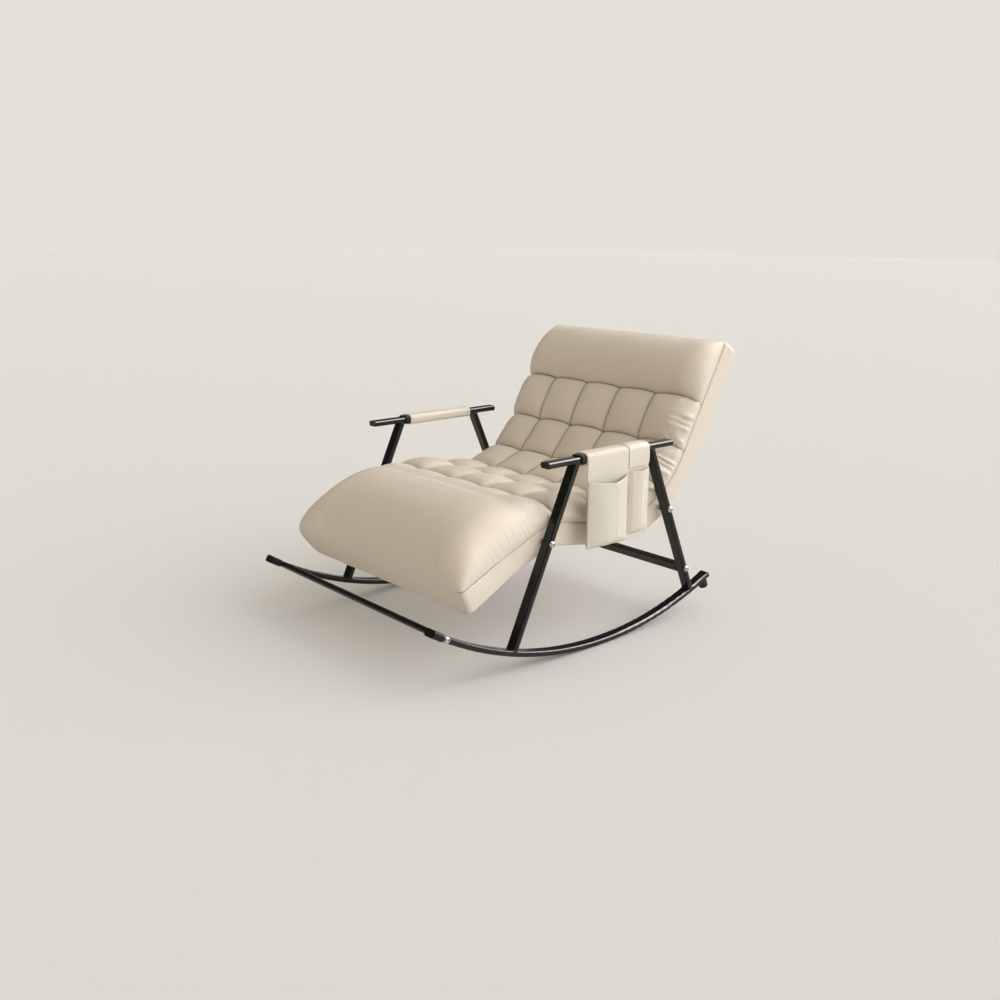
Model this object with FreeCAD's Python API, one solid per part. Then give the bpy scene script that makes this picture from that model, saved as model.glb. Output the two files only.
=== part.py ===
import FreeCAD, Part
import math
import os

# Upholstered rocking chair, in millimetres. +X is the sitter's left, +Y the rear and +Z up.
# The origin is on the floor, midway between the points where the two rockers touch it.

Vec = FreeCAD.Vector

# Tube of the side frames
TUBE_WIDTH = 30.0
TUBE_DEPTH = 15.0
TUBE_CORNER = 5.0
TUBE_WALL = 1.5

# Rockers: the radius is that of the underside, the reaches are measured from the contact point
ROCKER_RADIUS = 1035.0
ROCKER_FRONT_REACH = 549.0
ROCKER_REAR_REACH = 417.0
TIP_CAP_LENGTH = 30.0
TIP_CAP_WALL = 2.0
PLUG_LENGTH = 16.0
PLUG_FLANGE_THICKNESS = 2.5

# Rubber stop under the rear end of each rocker
STOP_DIAMETER = 26.0
STOP_HEIGHT = 25.0
STOP_ROUNDING = 5.0
STOP_END_DISTANCE = 15.0
STOP_SCREW_DIAMETER = 5.0
STOP_SCREW_HEAD = 9.0
STOP_SCREW_HEAD_HEIGHT = 4.0
STOP_SCREW_SEAT = 9.0
STOP_SCREW_CLEARANCE = 1.5

# Armrest bars and legs: reaches forward and back of the contact point
ARM_TOP = 498.5
ARM_FRONT_REACH = 204.0
ARM_REAR_REACH = 231.0
FRONT_LEG_FOOT = 304.0
FRONT_LEG_HEAD = 111.0
REAR_LEG_FOOT = 340.0
REAR_LEG_HEAD = 158.0
LEG_COPE = 9.0

# Crossbars
FRONT_BAR_DIAMETER = 16.0
FRONT_BAR_GAP = 7.0
REAR_BAR_HEIGHT = 135.0
BAR_PLUG_LENGTH = 26.0

# Bolts, washers and the hardware of the seat mounts
BOLT_DIAMETER = 8.0
BOLT_HEAD_DIAMETER = 13.5
BOLT_HEAD_HEIGHT = 4.5
BOLT_HEAD_ROUNDING = 2.0
BOLT_SOCKET = 5.0
BOLT_SOCKET_DEPTH = 2.5
WASHER_DIAMETER = 16.0
WASHER_THICKNESS = 1.5
SPACER_DIAMETER = 16.0
RIVET_DIAMETER = 11.0
RIVET_LENGTH = 14.0
RIVET_FLANGE_DIAMETER = 15.0
RIVET_FLANGE = 1.0
BOLT_HOLE_PLAY = 0.6
THREAD_PLAY = 0.1

# Seat line: the underside seen from the side, three straight runs and two bends
SEAT_WIDTH = 650.0
SIDE_GAP = 10.0
KNEE_REACH = 155.0
KNEE_HEIGHT = 281.0
LEG_REST_LENGTH = 287.0
LEG_REST_ANGLE = 22.0
SEAT_LENGTH = 422.0
SEAT_ANGLE = 10.2
BACK_LENGTH = 570.0
BACK_ANGLE = 61.0
KNEE_RADIUS = 120.0
SEAT_BEND_RADIUS = 323.0

# Layers of the seat, from its underside up
RAIL_DROP = 24.0
RAIL_HEIGHT = 20.0
RAIL_WIDTH = 20.0
RAIL_WALL = 1.5
RAIL_INSET = 2.5
CROSS_RAIL_DIAMETER = 19.0
CROSS_RAIL_INSET = 26.0
WEBBING_WIDTH = 50.0
WEBBING_THICKNESS = 2.0
LEG_REST_STRAPS = 3
SEAT_STRAPS = 5
BACK_STRAPS = 5
FOAM_THICKNESS = 12.0
COVER_THICKNESS = 2.5

# Padding sewn into rolls and tufted rows
ROW_PITCH = 135.0
ROW_COUNT = 5
COLUMN_COUNT = 5
HEADREST_LENGTH = 190.0
TUFT_CROWN = 62.0
TUFT_EDGE = 30.0
TUFT_SEAM_SHARE = 0.7
HEADREST_CROWN = 76.0
LEG_REST_CROWN = 88.0
NOSE_LENGTH = 45.0
SHOULDER_LENGTH = 36.0
SIDE_ROUNDING = 34.0
SIDE_EDGE_SHARE = 0.36

# Arm pads, sleeves and the side pocket
PAD_THICKNESS = 4.0
PAD_LENGTH = 232.0
PAD_FRONT_REACH = 102.0
SLEEVE_THICKNESS = 1.5
SLEEVE_LENGTH = 218.0
SLEEVE_FRONT_REACH = 87.0
POCKET_DROP = 223.0
POCKET_CLOTH = 1.6
POCKET_WALL = 2.0
POCKET_BOTTOM_GAP = 3.0
HEM_RADIUS = 1.6
HEM_GAP = 0.4
MAGAZINE_WIDTH = 140.0
MAGAZINE_FACE = 92.0
MAGAZINE_DEPTH = 30.0
MAGAZINE_MOUTH_DROP = 58.0
REMOTE_WIDTH = 73.0
REMOTE_FACE = 50.0
REMOTE_DEPTH = 15.0
REMOTE_MOUTH_DROP = 49.0
REMOTE_BOTTOM_RAISE = 14.0

# Small clearances
FIT = 0.2
SOFT_GAP = 0.4

# Places that follow from the sizes
SIDE_X = SEAT_WIDTH / 2
FRAME_X = SIDE_X + SIDE_GAP + TUBE_WIDTH / 2
FRAME_OUT = FRAME_X + TUBE_WIDTH / 2
FRAME_IN = FRAME_X - TUBE_WIDTH / 2
ARM_MIDDLE = ARM_TOP - TUBE_DEPTH / 2
ROCKER_CENTRE = Vec(0, 0, ROCKER_RADIUS)
FRONT_ANGLE = -math.degrees(math.asin(ROCKER_FRONT_REACH / ROCKER_RADIUS))
REAR_ANGLE = math.degrees(math.asin(ROCKER_REAR_REACH / ROCKER_RADIUS))
FRONT_BAR_REACH = ROCKER_FRONT_REACH - TIP_CAP_LENGTH - FRONT_BAR_GAP
ROCKER_PLUG_LENGTH = STOP_END_DISTANCE - STOP_SCREW_DIAMETER / 2 - STOP_SCREW_CLEARANCE
RAIL_TOP = RAIL_DROP + RAIL_HEIGHT
RAIL_MIDDLE = RAIL_DROP + RAIL_HEIGHT / 2
RAIL_OUT = SIDE_X - COVER_THICKNESS - RAIL_INSET
RAIL_IN = RAIL_OUT - RAIL_WIDTH
WEBBING_TOP = RAIL_TOP + WEBBING_THICKNESS
BORDER_HEIGHT = WEBBING_TOP + FOAM_THICKNESS
BOLT_HOLE = BOLT_DIAMETER + BOLT_HOLE_PLAY
SLEEVE_OUT = FRAME_OUT + FIT + PAD_THICKNESS + FIT + SLEEVE_THICKNESS
POCKET_BACK = SLEEVE_OUT + HEM_GAP + HEM_RADIUS + POCKET_CLOTH / 2
POCKET_BOTTOM = ARM_MIDDLE - POCKET_DROP

ACROSS = Vec(1, 0, 0)
REARWARD = Vec(0, 1, 0)
UP = Vec(0, 0, 1)


class SeatLine:
    """The seat's underside from the side: straight runs and tangent arcs, walked by length."""

    def __init__(self, corners, radii):
        headings = []
        lengths = []
        for start, end in zip(corners, corners[1:]):
            headings.append(math.atan2(end[1] - start[1], end[0] - start[0]))
            lengths.append(math.dist(start, end))
        turns = [after - before for before, after in zip(headings, headings[1:])]
        setbacks = [radius * math.tan(abs(turn) / 2) for radius, turn in zip(radii, turns)]
        self.spans = []
        self.length = 0.0
        place = corners[0]
        for index, heading in enumerate(headings):
            run = lengths[index]
            if index > 0:
                run -= setbacks[index - 1]
            if index < len(turns):
                run -= setbacks[index]
            place = self.add_span(place, heading, run, 0.0)
            if index < len(turns):
                bend = math.copysign(1 / radii[index], turns[index])
                place = self.add_span(place, heading, radii[index] * abs(turns[index]), bend)

    def add_span(self, place, heading, length, bend):
        """Add a run of one bend (1 / radius, left positive) and give its end."""
        self.spans.append((self.length, self.length + length, place, heading, bend))
        self.length += length
        return self.at(self.length, 0.0)

    def at(self, s, depth):
        """Point (y, z) at length s from the front, depth above the underside."""
        for start, end, place, heading, bend in self.spans:
            if s <= end:
                break
        run = s - start
        angle = heading + bend * run
        if bend == 0:
            y = place[0] + run * math.cos(heading)
            z = place[1] + run * math.sin(heading)
        else:
            y = place[0] + (math.sin(angle) - math.sin(heading)) / bend
            z = place[1] - (math.cos(angle) - math.cos(heading)) / bend
        return (y - depth * math.sin(angle), z + depth * math.cos(angle))

    def point(self, x, s, depth):
        """The same point as a vector, at x across the chair."""
        y, z = self.at(s, depth)
        return Vec(x, y, z)

    def back_from(self, s, length, depth):
        """Length from the front of the place that lies a measured length before s, at a depth."""
        for start, end, _, _, bend in reversed(self.spans):
            if s <= start:
                continue
            stretch = 1 - bend * depth
            room = (s - start) * stretch
            if room >= length:
                return s - length / stretch
            length -= room
            s = start
        return s

    def edges(self, x, s0, s1, depth):
        """Edges from s0 to s1 at a depth above the underside."""
        parts = []
        for start, end, _, _, bend in self.spans:
            a = max(start, s0)
            b = min(end, s1)
            if b - a < 1e-6:
                continue
            first = self.point(x, a, depth)
            last = self.point(x, b, depth)
            if bend == 0:
                parts.append(Part.LineSegment(first, last).toShape())
            else:
                parts.append(Part.Arc(first, self.point(x, (a + b) / 2, depth), last).toShape())
        return parts

    def band(self, s0, s1, low, high, x0, x1):
        """Solid between two depths, from s0 to s1, over x0 to x1."""
        edges = self.edges(x0, s0, s1, low)
        edges.append(Part.LineSegment(self.point(x0, s1, low), self.point(x0, s1, high)).toShape())
        edges += reversed(self.edges(x0, s0, s1, high))
        edges.append(Part.LineSegment(self.point(x0, s0, high), self.point(x0, s0, low)).toShape())
        wire = Part.Wire(Part.__sortEdges__(edges))
        return Part.Face(wire).extrude(Vec(x1 - x0, 0, 0))

    def crossing(self, line_point, line_direction, depth, s0, s1):
        """Length from the front where a straight line in the side view meets this depth."""

        def side(s):
            y, z = self.at(s, depth)
            return (y - line_point.y) * line_direction.z - (z - line_point.z) * line_direction.y

        low, high = s0, s1
        for _ in range(60):
            middle = (low + high) / 2
            if side(low) * side(middle) <= 0:
                high = middle
            else:
                low = middle
        return (low + high) / 2


def turned(point, length, degrees):
    """Point in the side view, a length away at an angle above the rearward direction."""
    angle = math.radians(degrees)
    return (point[0] + length * math.cos(angle), point[1] + length * math.sin(angle))


def make_seat_line():
    knee = (-KNEE_REACH, KNEE_HEIGHT)
    front = turned(knee, -LEG_REST_LENGTH, LEG_REST_ANGLE)
    hip = turned(knee, SEAT_LENGTH, -SEAT_ANGLE)
    top = turned(hip, BACK_LENGTH, BACK_ANGLE)
    return SeatLine([front, knee, hip, top], [KNEE_RADIUS, SEAT_BEND_RADIUS])


def row_creases(line):
    """Lengths from the front of the sewn creases, leg rest crease first, headrest crease last."""
    creases = [line.length - HEADREST_LENGTH]
    for _ in range(ROW_COUNT):
        creases.insert(0, line.back_from(creases[0], ROW_PITCH, BORDER_HEIGHT))
    return creases


LINE = make_seat_line()
CREASES = row_creases(LINE)


def rounded_rectangle(width, depth, corner):
    """Closed wire in the XY plane, centred on the origin."""
    corner = min(corner, 0.48 * width, 0.48 * depth)
    x = width / 2 - corner
    y = depth / 2 - corner
    arcs = []
    for quarter, (cx, cy) in enumerate(((x, y), (-x, y), (-x, -y), (x, -y))):
        points = []
        for step in range(3):
            angle = math.radians(90 * quarter + 45 * step)
            points.append(Vec(cx + corner * math.cos(angle), cy + corner * math.sin(angle), 0))
        arcs.append(points)
    edges = []
    for this, following in zip(arcs, arcs[1:] + arcs[:1]):
        edges.append(Part.Arc(*this).toShape())
        edges.append(Part.LineSegment(this[2], following[0]).toShape())
    return Part.Wire(edges)


def prism(wire, start, end, width_axis):
    """Solid of a section run from start to end, its width along width_axis."""
    along = (end - start).normalize()
    solid = Part.Face(wire).extrude(Vec(0, 0, (end - start).Length))
    turn = FreeCAD.Rotation(width_axis, along.cross(width_axis), along, "ZXY")
    solid.Placement = FreeCAD.Placement(start, turn)
    return solid


def tube_wire(grow):
    """Outline of the frame tube, grown all round."""
    return rounded_rectangle(TUBE_WIDTH + 2 * grow, TUBE_DEPTH + 2 * grow, TUBE_CORNER + grow)


def rocker_run(grow, start_angle, end_angle):
    """Solid that follows the left rocker between two angles from the contact point."""
    face = Part.Face(tube_wire(grow))
    turn = FreeCAD.Rotation(ACROSS, UP, -REARWARD, "ZXY")
    face.Placement = FreeCAD.Placement(Vec(FRAME_X, 0, TUBE_DEPTH / 2), turn)
    face.rotate(ROCKER_CENTRE, ACROSS, start_angle)
    return face.revolve(ROCKER_CENTRE, ACROSS, end_angle - start_angle)


def arc_degrees(length):
    """Angle of a length measured along the rocker's underside."""
    return math.degrees(length / ROCKER_RADIUS)


def on_rocker(y, depth):
    """Point of the left rocker at a rearward place, depth above the underside."""
    return Vec(FRAME_X, y, ROCKER_RADIUS - math.sqrt((ROCKER_RADIUS - depth) ** 2 - y ** 2))


def rod(diameter, x0, x1, middle):
    """Cylinder across the chair from x0 to x1 about a point of the side view."""
    low, high = sorted((x0, x1))
    return Part.makeCylinder(diameter / 2, high - low, Vec(low, middle.y, middle.z), ACROSS)


def mirrored(shape):
    """The same shape on the other side of the chair."""
    return shape.mirror(Vec(0, 0, 0), ACROSS)


def both_sides(shapes):
    """A group with every left shape and its mirror image."""
    return Part.makeCompound([copy for shape in shapes for copy in (shape, mirrored(shape))])


# Places where pieces are bolted together, on the left side
FRONT_FOOT = on_rocker(-FRONT_LEG_FOOT, TUBE_DEPTH)
FRONT_HEAD = Vec(FRAME_X, -FRONT_LEG_HEAD, ARM_TOP - TUBE_DEPTH)
REAR_FOOT = on_rocker(REAR_LEG_FOOT, TUBE_DEPTH)
REAR_HEAD = Vec(FRAME_X, REAR_LEG_HEAD, ARM_TOP - TUBE_DEPTH)
FRONT_LEG_AXIS = (FRONT_HEAD - FRONT_FOOT).normalize()
REAR_LEG_AXIS = (REAR_HEAD - REAR_FOOT).normalize()
FRONT_BAR = on_rocker(-FRONT_BAR_REACH, TUBE_DEPTH / 2)
REAR_BAR = REAR_FOOT + REAR_LEG_AXIS * ((REAR_BAR_HEIGHT - REAR_FOOT.z) / REAR_LEG_AXIS.z)
SEAT_MIDDLE = CREASES[ROW_COUNT // 2]
FRONT_MOUNT_S = LINE.crossing(FRONT_FOOT, FRONT_LEG_AXIS, RAIL_MIDDLE, 0.0, SEAT_MIDDLE)
REAR_MOUNT_S = LINE.crossing(REAR_FOOT, REAR_LEG_AXIS, RAIL_MIDDLE, SEAT_MIDDLE, LINE.length)
FRONT_MOUNT = LINE.point(FRAME_X, FRONT_MOUNT_S, RAIL_MIDDLE)
REAR_MOUNT = LINE.point(FRAME_X, REAR_MOUNT_S, RAIL_MIDDLE)
SEAT_MOUNTS = (FRONT_MOUNT, REAR_MOUNT)
STOP_ANGLE = REAR_ANGLE - arc_degrees(STOP_END_DISTANCE)


def bolt_hole(middle):
    """Clearance hole through both walls of a frame tube."""
    return rod(BOLT_HOLE, FRAME_IN - TUBE_WIDTH, FRAME_OUT + TUBE_WIDTH, middle)


def make_rocker():
    tube = rocker_run(0, FRONT_ANGLE, REAR_ANGLE)
    tube = tube.cut(rocker_run(-TUBE_WALL, FRONT_ANGLE, REAR_ANGLE))
    pilot = Part.makeCylinder(STOP_SCREW_DIAMETER / 2 + FIT, TUBE_DEPTH, Vec(FRAME_X, 0, -TUBE_DEPTH / 2), UP)
    pilot.rotate(ROCKER_CENTRE, ACROSS, STOP_ANGLE)
    return tube.cut(bolt_hole(FRONT_BAR)).cut(pilot)


def make_tip_cap():
    end = FRONT_ANGLE - arc_degrees(TIP_CAP_WALL)
    shell = rocker_run(TIP_CAP_WALL, end, FRONT_ANGLE + arc_degrees(TIP_CAP_LENGTH - TIP_CAP_WALL))
    socket = rocker_run(FIT, FRONT_ANGLE, FRONT_ANGLE + arc_degrees(2 * TIP_CAP_LENGTH))
    return shell.cut(socket)


def make_rocker_plug():
    flange = rocker_run(0, REAR_ANGLE, REAR_ANGLE + arc_degrees(PLUG_FLANGE_THICKNESS))
    insert = rocker_run(-TUBE_WALL - FIT, REAR_ANGLE - arc_degrees(ROCKER_PLUG_LENGTH), REAR_ANGLE)
    return flange.fuse(insert)


def make_stop():
    """Rubber knob, drilled and counterbored for its screw."""
    knob = Part.makeCylinder(STOP_DIAMETER / 2, STOP_HEIGHT, Vec(FRAME_X, 0, -STOP_HEIGHT), UP)
    rim = [edge for edge in knob.Edges if abs(edge.CenterOfMass.z + STOP_HEIGHT) < FIT]
    knob = knob.makeFillet(STOP_ROUNDING, [edge for edge in rim if isinstance(edge.Curve, Part.Circle)])
    bore = Part.makeCylinder(STOP_SCREW_DIAMETER / 2 + FIT, STOP_HEIGHT, Vec(FRAME_X, 0, -STOP_HEIGHT), UP)
    recess_depth = STOP_HEIGHT - STOP_SCREW_SEAT
    recess = Part.makeCylinder(STOP_SCREW_HEAD / 2 + FIT, recess_depth, Vec(FRAME_X, 0, -STOP_HEIGHT), UP)
    knob = knob.cut(bore).cut(recess)
    knob.rotate(ROCKER_CENTRE, ACROSS, STOP_ANGLE)
    return knob.cut(rocker_run(0, FRONT_ANGLE, REAR_ANGLE))


def make_stop_screw():
    seat = Vec(FRAME_X, 0, -STOP_SCREW_SEAT)
    shank = Part.makeCylinder(STOP_SCREW_DIAMETER / 2, STOP_SCREW_SEAT + TUBE_DEPTH / 2, seat, UP)
    head = Part.makeCylinder(STOP_SCREW_HEAD / 2, STOP_SCREW_HEAD_HEIGHT, seat, -UP)
    screw = shank.fuse(head)
    screw.rotate(ROCKER_CENTRE, ACROSS, STOP_ANGLE)
    return screw


def arm_run(grow, front_reach, length):
    """Solid that follows the left armrest bar, grown all round."""
    start = Vec(FRAME_X, -front_reach, ARM_MIDDLE)
    return prism(tube_wire(grow), start, start + REARWARD * length, ACROSS)


def make_arm_bar():
    length = ARM_FRONT_REACH + ARM_REAR_REACH
    return arm_run(0, ARM_FRONT_REACH, length).cut(arm_run(-TUBE_WALL, ARM_FRONT_REACH, length))


def make_arm_caps():
    front = arm_run(0, ARM_FRONT_REACH + PLUG_FLANGE_THICKNESS, PLUG_FLANGE_THICKNESS)
    front = front.fuse(arm_run(-TUBE_WALL - FIT, ARM_FRONT_REACH, PLUG_LENGTH))
    rear = arm_run(0, -ARM_REAR_REACH, PLUG_FLANGE_THICKNESS)
    rear = rear.fuse(arm_run(-TUBE_WALL - FIT, PLUG_LENGTH - ARM_REAR_REACH, PLUG_LENGTH))
    return [front, rear]


def make_leg(foot, head, axis, holes):
    """Tube between rocker and armrest bar, coped to both, with its bolt holes."""
    start = foot - axis * LEG_COPE
    end = head + axis * LEG_COPE
    leg = prism(tube_wire(0), start, end, ACROSS).cut(prism(tube_wire(-TUBE_WALL), start, end, ACROSS))
    leg = leg.cut(rocker_run(0, FRONT_ANGLE, REAR_ANGLE))
    leg = leg.cut(arm_run(0, ARM_FRONT_REACH, ARM_FRONT_REACH + ARM_REAR_REACH))
    for middle in holes:
        leg = leg.cut(bolt_hole(middle))
    return leg


def make_front_bar():
    bore = FRONT_BAR_DIAMETER - 2 * TUBE_WALL
    return rod(FRONT_BAR_DIAMETER, -FRAME_IN, FRAME_IN, FRONT_BAR).cut(rod(bore, -FRAME_IN, FRAME_IN, FRONT_BAR))


def make_front_bar_plug():
    plug = rod(FRONT_BAR_DIAMETER - 2 * TUBE_WALL - 2 * FIT, FRAME_IN - BAR_PLUG_LENGTH, FRAME_IN, FRONT_BAR)
    return plug.cut(rod(BOLT_DIAMETER + THREAD_PLAY, FRAME_IN - BAR_PLUG_LENGTH, FRAME_IN, FRONT_BAR))


def rear_bar_run(grow, x0, x1):
    """Solid that follows the rear crossbar, its width along the rear legs."""
    start = Vec(x0, REAR_BAR.y, REAR_BAR.z)
    return prism(tube_wire(grow), start, Vec(x1, REAR_BAR.y, REAR_BAR.z), REAR_LEG_AXIS)


def make_rear_bar():
    return rear_bar_run(0, -FRAME_IN, FRAME_IN).cut(rear_bar_run(-TUBE_WALL, -FRAME_IN, FRAME_IN))


def make_rear_bar_plug():
    plug = rear_bar_run(-TUBE_WALL - FIT, FRAME_IN - BAR_PLUG_LENGTH, FRAME_IN)
    return plug.cut(rod(BOLT_DIAMETER + THREAD_PLAY, FRAME_IN - BAR_PLUG_LENGTH, FRAME_IN, REAR_BAR))


def make_bolt(middle, end_x):
    """Button-head bolt from outside the frame in to end_x, with a hexagon socket."""
    seat = FRAME_OUT + WASHER_THICKNESS
    head = rod(BOLT_HEAD_DIAMETER, seat, seat + BOLT_HEAD_HEIGHT, middle)
    crown = [edge for edge in head.Edges if edge.BoundBox.XMin > seat + BOLT_HEAD_HEIGHT / 2]
    head = head.makeFillet(BOLT_HEAD_ROUNDING, crown)
    corners = []
    for corner in range(7):
        angle = math.radians(60 * corner)
        reach = BOLT_SOCKET / math.sqrt(3)
        y = middle.y + reach * math.cos(angle)
        corners.append(Vec(seat + BOLT_HEAD_HEIGHT, y, middle.z + reach * math.sin(angle)))
    socket = Part.Face(Part.makePolygon(corners)).extrude(Vec(-BOLT_SOCKET_DEPTH, 0, 0))
    return head.cut(socket).fuse(rod(BOLT_DIAMETER, end_x, seat, middle))


def make_washer(middle):
    edge = FRAME_OUT + WASHER_THICKNESS
    return rod(WASHER_DIAMETER, FRAME_OUT, edge, middle).cut(rod(BOLT_HOLE, FRAME_OUT, edge, middle))


def make_spacer(middle):
    end = RAIL_OUT + RIVET_FLANGE
    return rod(SPACER_DIAMETER, end, FRAME_IN, middle).cut(rod(BOLT_HOLE, end, FRAME_IN, middle))


def make_rivet_nut(middle):
    flange = rod(RIVET_FLANGE_DIAMETER, RAIL_OUT, RAIL_OUT + RIVET_FLANGE, middle)
    body = rod(RIVET_DIAMETER, RAIL_OUT - RIVET_LENGTH, RAIL_OUT, middle)
    thread = rod(BOLT_DIAMETER + THREAD_PLAY, RAIL_OUT - RIVET_LENGTH, RAIL_OUT + RIVET_FLANGE, middle)
    return flange.fuse(body).cut(thread)


def make_side_rail():
    """Bent square tube that carries one side of the seat."""
    start = COVER_THICKNESS + SOFT_GAP
    end = LINE.length - start
    rail = LINE.band(start, end, RAIL_DROP, RAIL_TOP, RAIL_IN, RAIL_OUT)
    bore = LINE.band(start, end, RAIL_DROP + RAIL_WALL, RAIL_TOP - RAIL_WALL,
                     RAIL_IN + RAIL_WALL, RAIL_OUT - RAIL_WALL)
    rail = rail.cut(bore)
    for middle in SEAT_MOUNTS:
        rail = rail.cut(rod(RIVET_DIAMETER + FIT, RAIL_OUT - RAIL_WALL, RAIL_OUT, middle))
    return rail


def make_cross_rail(s):
    middle = LINE.point(0, s, RAIL_MIDDLE)
    bore = CROSS_RAIL_DIAMETER - 2 * RAIL_WALL
    return rod(CROSS_RAIL_DIAMETER, -RAIL_IN, RAIL_IN, middle).cut(rod(bore, -RAIL_IN, RAIL_IN, middle))


def make_webbing(s0, s1, count):
    """Straps from side rail to side rail, evenly spaced between s0 and s1."""
    straps = []
    pitch = (s1 - s0) / count
    for index in range(count):
        middle = s0 + (index + 0.5) * pitch
        straps.append(LINE.band(middle - WEBBING_WIDTH / 2, middle + WEBBING_WIDTH / 2,
                                RAIL_TOP, WEBBING_TOP, -RAIL_OUT, RAIL_OUT))
    return Part.makeCompound(straps)


def make_foam(s0, s1):
    """Flat base foam over the webbing."""
    reach = SIDE_X - COVER_THICKNESS - SOFT_GAP
    return LINE.band(s0 + SOFT_GAP, s1 - SOFT_GAP, WEBBING_TOP + SOFT_GAP, BORDER_HEIGHT, -reach, reach)


def make_side_border():
    """Plain strip of cover along one side, pierced for the seat mounts."""
    border = LINE.band(0, LINE.length, 0, BORDER_HEIGHT, SIDE_X - COVER_THICKNESS, SIDE_X)
    for middle in SEAT_MOUNTS:
        border = border.cut(rod(SPACER_DIAMETER + 2 * FIT, RAIL_OUT, FRAME_IN, middle))
    return border


def make_end_border(s0):
    """Strip of cover across the front or the top end."""
    reach = SIDE_X - COVER_THICKNESS
    return LINE.band(s0, s0 + COVER_THICKNESS, 0, BORDER_HEIGHT, -reach, reach)


def make_under_cover():
    reach = SIDE_X - COVER_THICKNESS
    return LINE.band(COVER_THICKNESS, LINE.length - COVER_THICKNESS, 0, COVER_THICKNESS, -reach, reach)


def row_section(x, s0, s1, share):
    """Section of a tufted row: a crown between two sewn edges, its height cut to a share."""
    low = BORDER_HEIGHT + SOFT_GAP
    edge = low + share * TUFT_EDGE
    crown = low + share * TUFT_CROWN
    front = LINE.point(x, s0, edge)
    rear = LINE.point(x, s1, edge)
    edges = LINE.edges(x, s0, s1, low)
    edges.append(Part.LineSegment(LINE.point(x, s1, low), rear).toShape())
    edges.append(Part.Arc(rear, LINE.point(x, (s0 + s1) / 2, crown), front).toShape())
    edges.append(Part.LineSegment(front, LINE.point(x, s0, low)).toShape())
    return Part.Wire(Part.__sortEdges__(edges))


def roll_section(x, stations, share):
    """Section of a roll: tangent-like arcs through (length, height) stations, height cut to a share."""
    low = BORDER_HEIGHT + SOFT_GAP
    points = [LINE.point(x, s, low + share * height) for s, height in stations]
    s0 = stations[0][0]
    s1 = stations[-1][0]
    edges = LINE.edges(x, s0, s1, low)
    edges.append(Part.LineSegment(LINE.point(x, s1, low), points[-1]).toShape())
    for first in range(len(points) - 3, -1, -2):
        edges.append(Part.Arc(points[first + 2], points[first + 1], points[first]).toShape())
    edges.append(Part.LineSegment(points[0], LINE.point(x, s0, low)).toShape())
    return Part.Wire(Part.__sortEdges__(edges))


def across_stations(columns, seam_share):
    """Places across the seat with the share of the full height there, sides drawn in."""
    reach = SIDE_X - SOFT_GAP
    rounding = min(SIDE_ROUNDING, reach / columns)
    stations = []
    for column in range(columns):
        for part in (0.0, 0.15, 0.35, 0.5, 0.65, 0.85):
            place = (column + part) / columns
            swell = math.sin(math.pi * part) ** 0.6
            share = seam_share + (1 - seam_share) * swell
            stations.append((reach * (2 * place - 1), share))
    stations.append((reach, seam_share))
    drawn = []
    for x, share in stations:
        inset = min(1.0, (reach - abs(x)) / rounding)
        side = math.sqrt(1 - (1 - inset) ** 2)
        drawn.append((x, SIDE_EDGE_SHARE + (share - SIDE_EDGE_SHARE) * side))
    return drawn


def make_row(index):
    """Tufted row between two creases, one tuft to a column."""
    s0 = CREASES[index] + SOFT_GAP
    s1 = CREASES[index + 1] - SOFT_GAP
    stations = across_stations(COLUMN_COUNT, TUFT_SEAM_SHARE)
    return Part.makeLoft([row_section(x, s0, s1, share) for x, share in stations], True, True)


def make_roll(stations):
    """Plain roll across the seat, round at both sides."""
    across = across_stations(COLUMN_COUNT, 1.0)
    return Part.makeLoft([roll_section(x, stations, share) for x, share in across], True, True)


def make_leg_rest():
    """Roll with a round nose at the front and a shoulder down to the knee crease."""
    start = SOFT_GAP
    end = CREASES[0] - SOFT_GAP
    shoulder = end - SHOULDER_LENGTH
    middle = (NOSE_LENGTH + shoulder) / 2
    return make_roll([
        (start, 0.06 * LEG_REST_CROWN),
        (start + 0.13 * NOSE_LENGTH, 0.6 * LEG_REST_CROWN),
        (start + NOSE_LENGTH, 0.93 * LEG_REST_CROWN),
        (middle, LEG_REST_CROWN),
        (shoulder, 0.7 * LEG_REST_CROWN),
        (end - 0.3 * SHOULDER_LENGTH, 0.48 * LEG_REST_CROWN),
        (end, 0.18 * LEG_REST_CROWN),
    ])


def make_headrest():
    """Roll that swells over its crease and thins towards the top edge."""
    start = CREASES[-1] + SOFT_GAP
    end = LINE.length - SOFT_GAP
    swell = start + 0.24 * HEADREST_LENGTH
    brow = end - 0.12 * HEADREST_LENGTH
    return make_roll([
        (start, 0.24 * HEADREST_CROWN),
        (start + 0.08 * HEADREST_LENGTH, 0.72 * HEADREST_CROWN),
        (swell, HEADREST_CROWN),
        ((swell + brow) / 2, 0.86 * HEADREST_CROWN),
        (brow, 0.45 * HEADREST_CROWN),
        (end - 0.04 * HEADREST_LENGTH, 0.28 * HEADREST_CROWN),
        (end, 0.06 * HEADREST_CROWN),
    ])


def make_arm_pad():
    pad = arm_run(FIT + PAD_THICKNESS, PAD_FRONT_REACH, PAD_LENGTH)
    return pad.cut(arm_run(FIT, PAD_FRONT_REACH, PAD_LENGTH))


def make_sleeve():
    inside = FIT + PAD_THICKNESS + FIT
    sleeve = arm_run(inside + SLEEVE_THICKNESS, SLEEVE_FRONT_REACH, SLEEVE_LENGTH)
    return sleeve.cut(arm_run(inside, SLEEVE_FRONT_REACH, SLEEVE_LENGTH))


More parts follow.
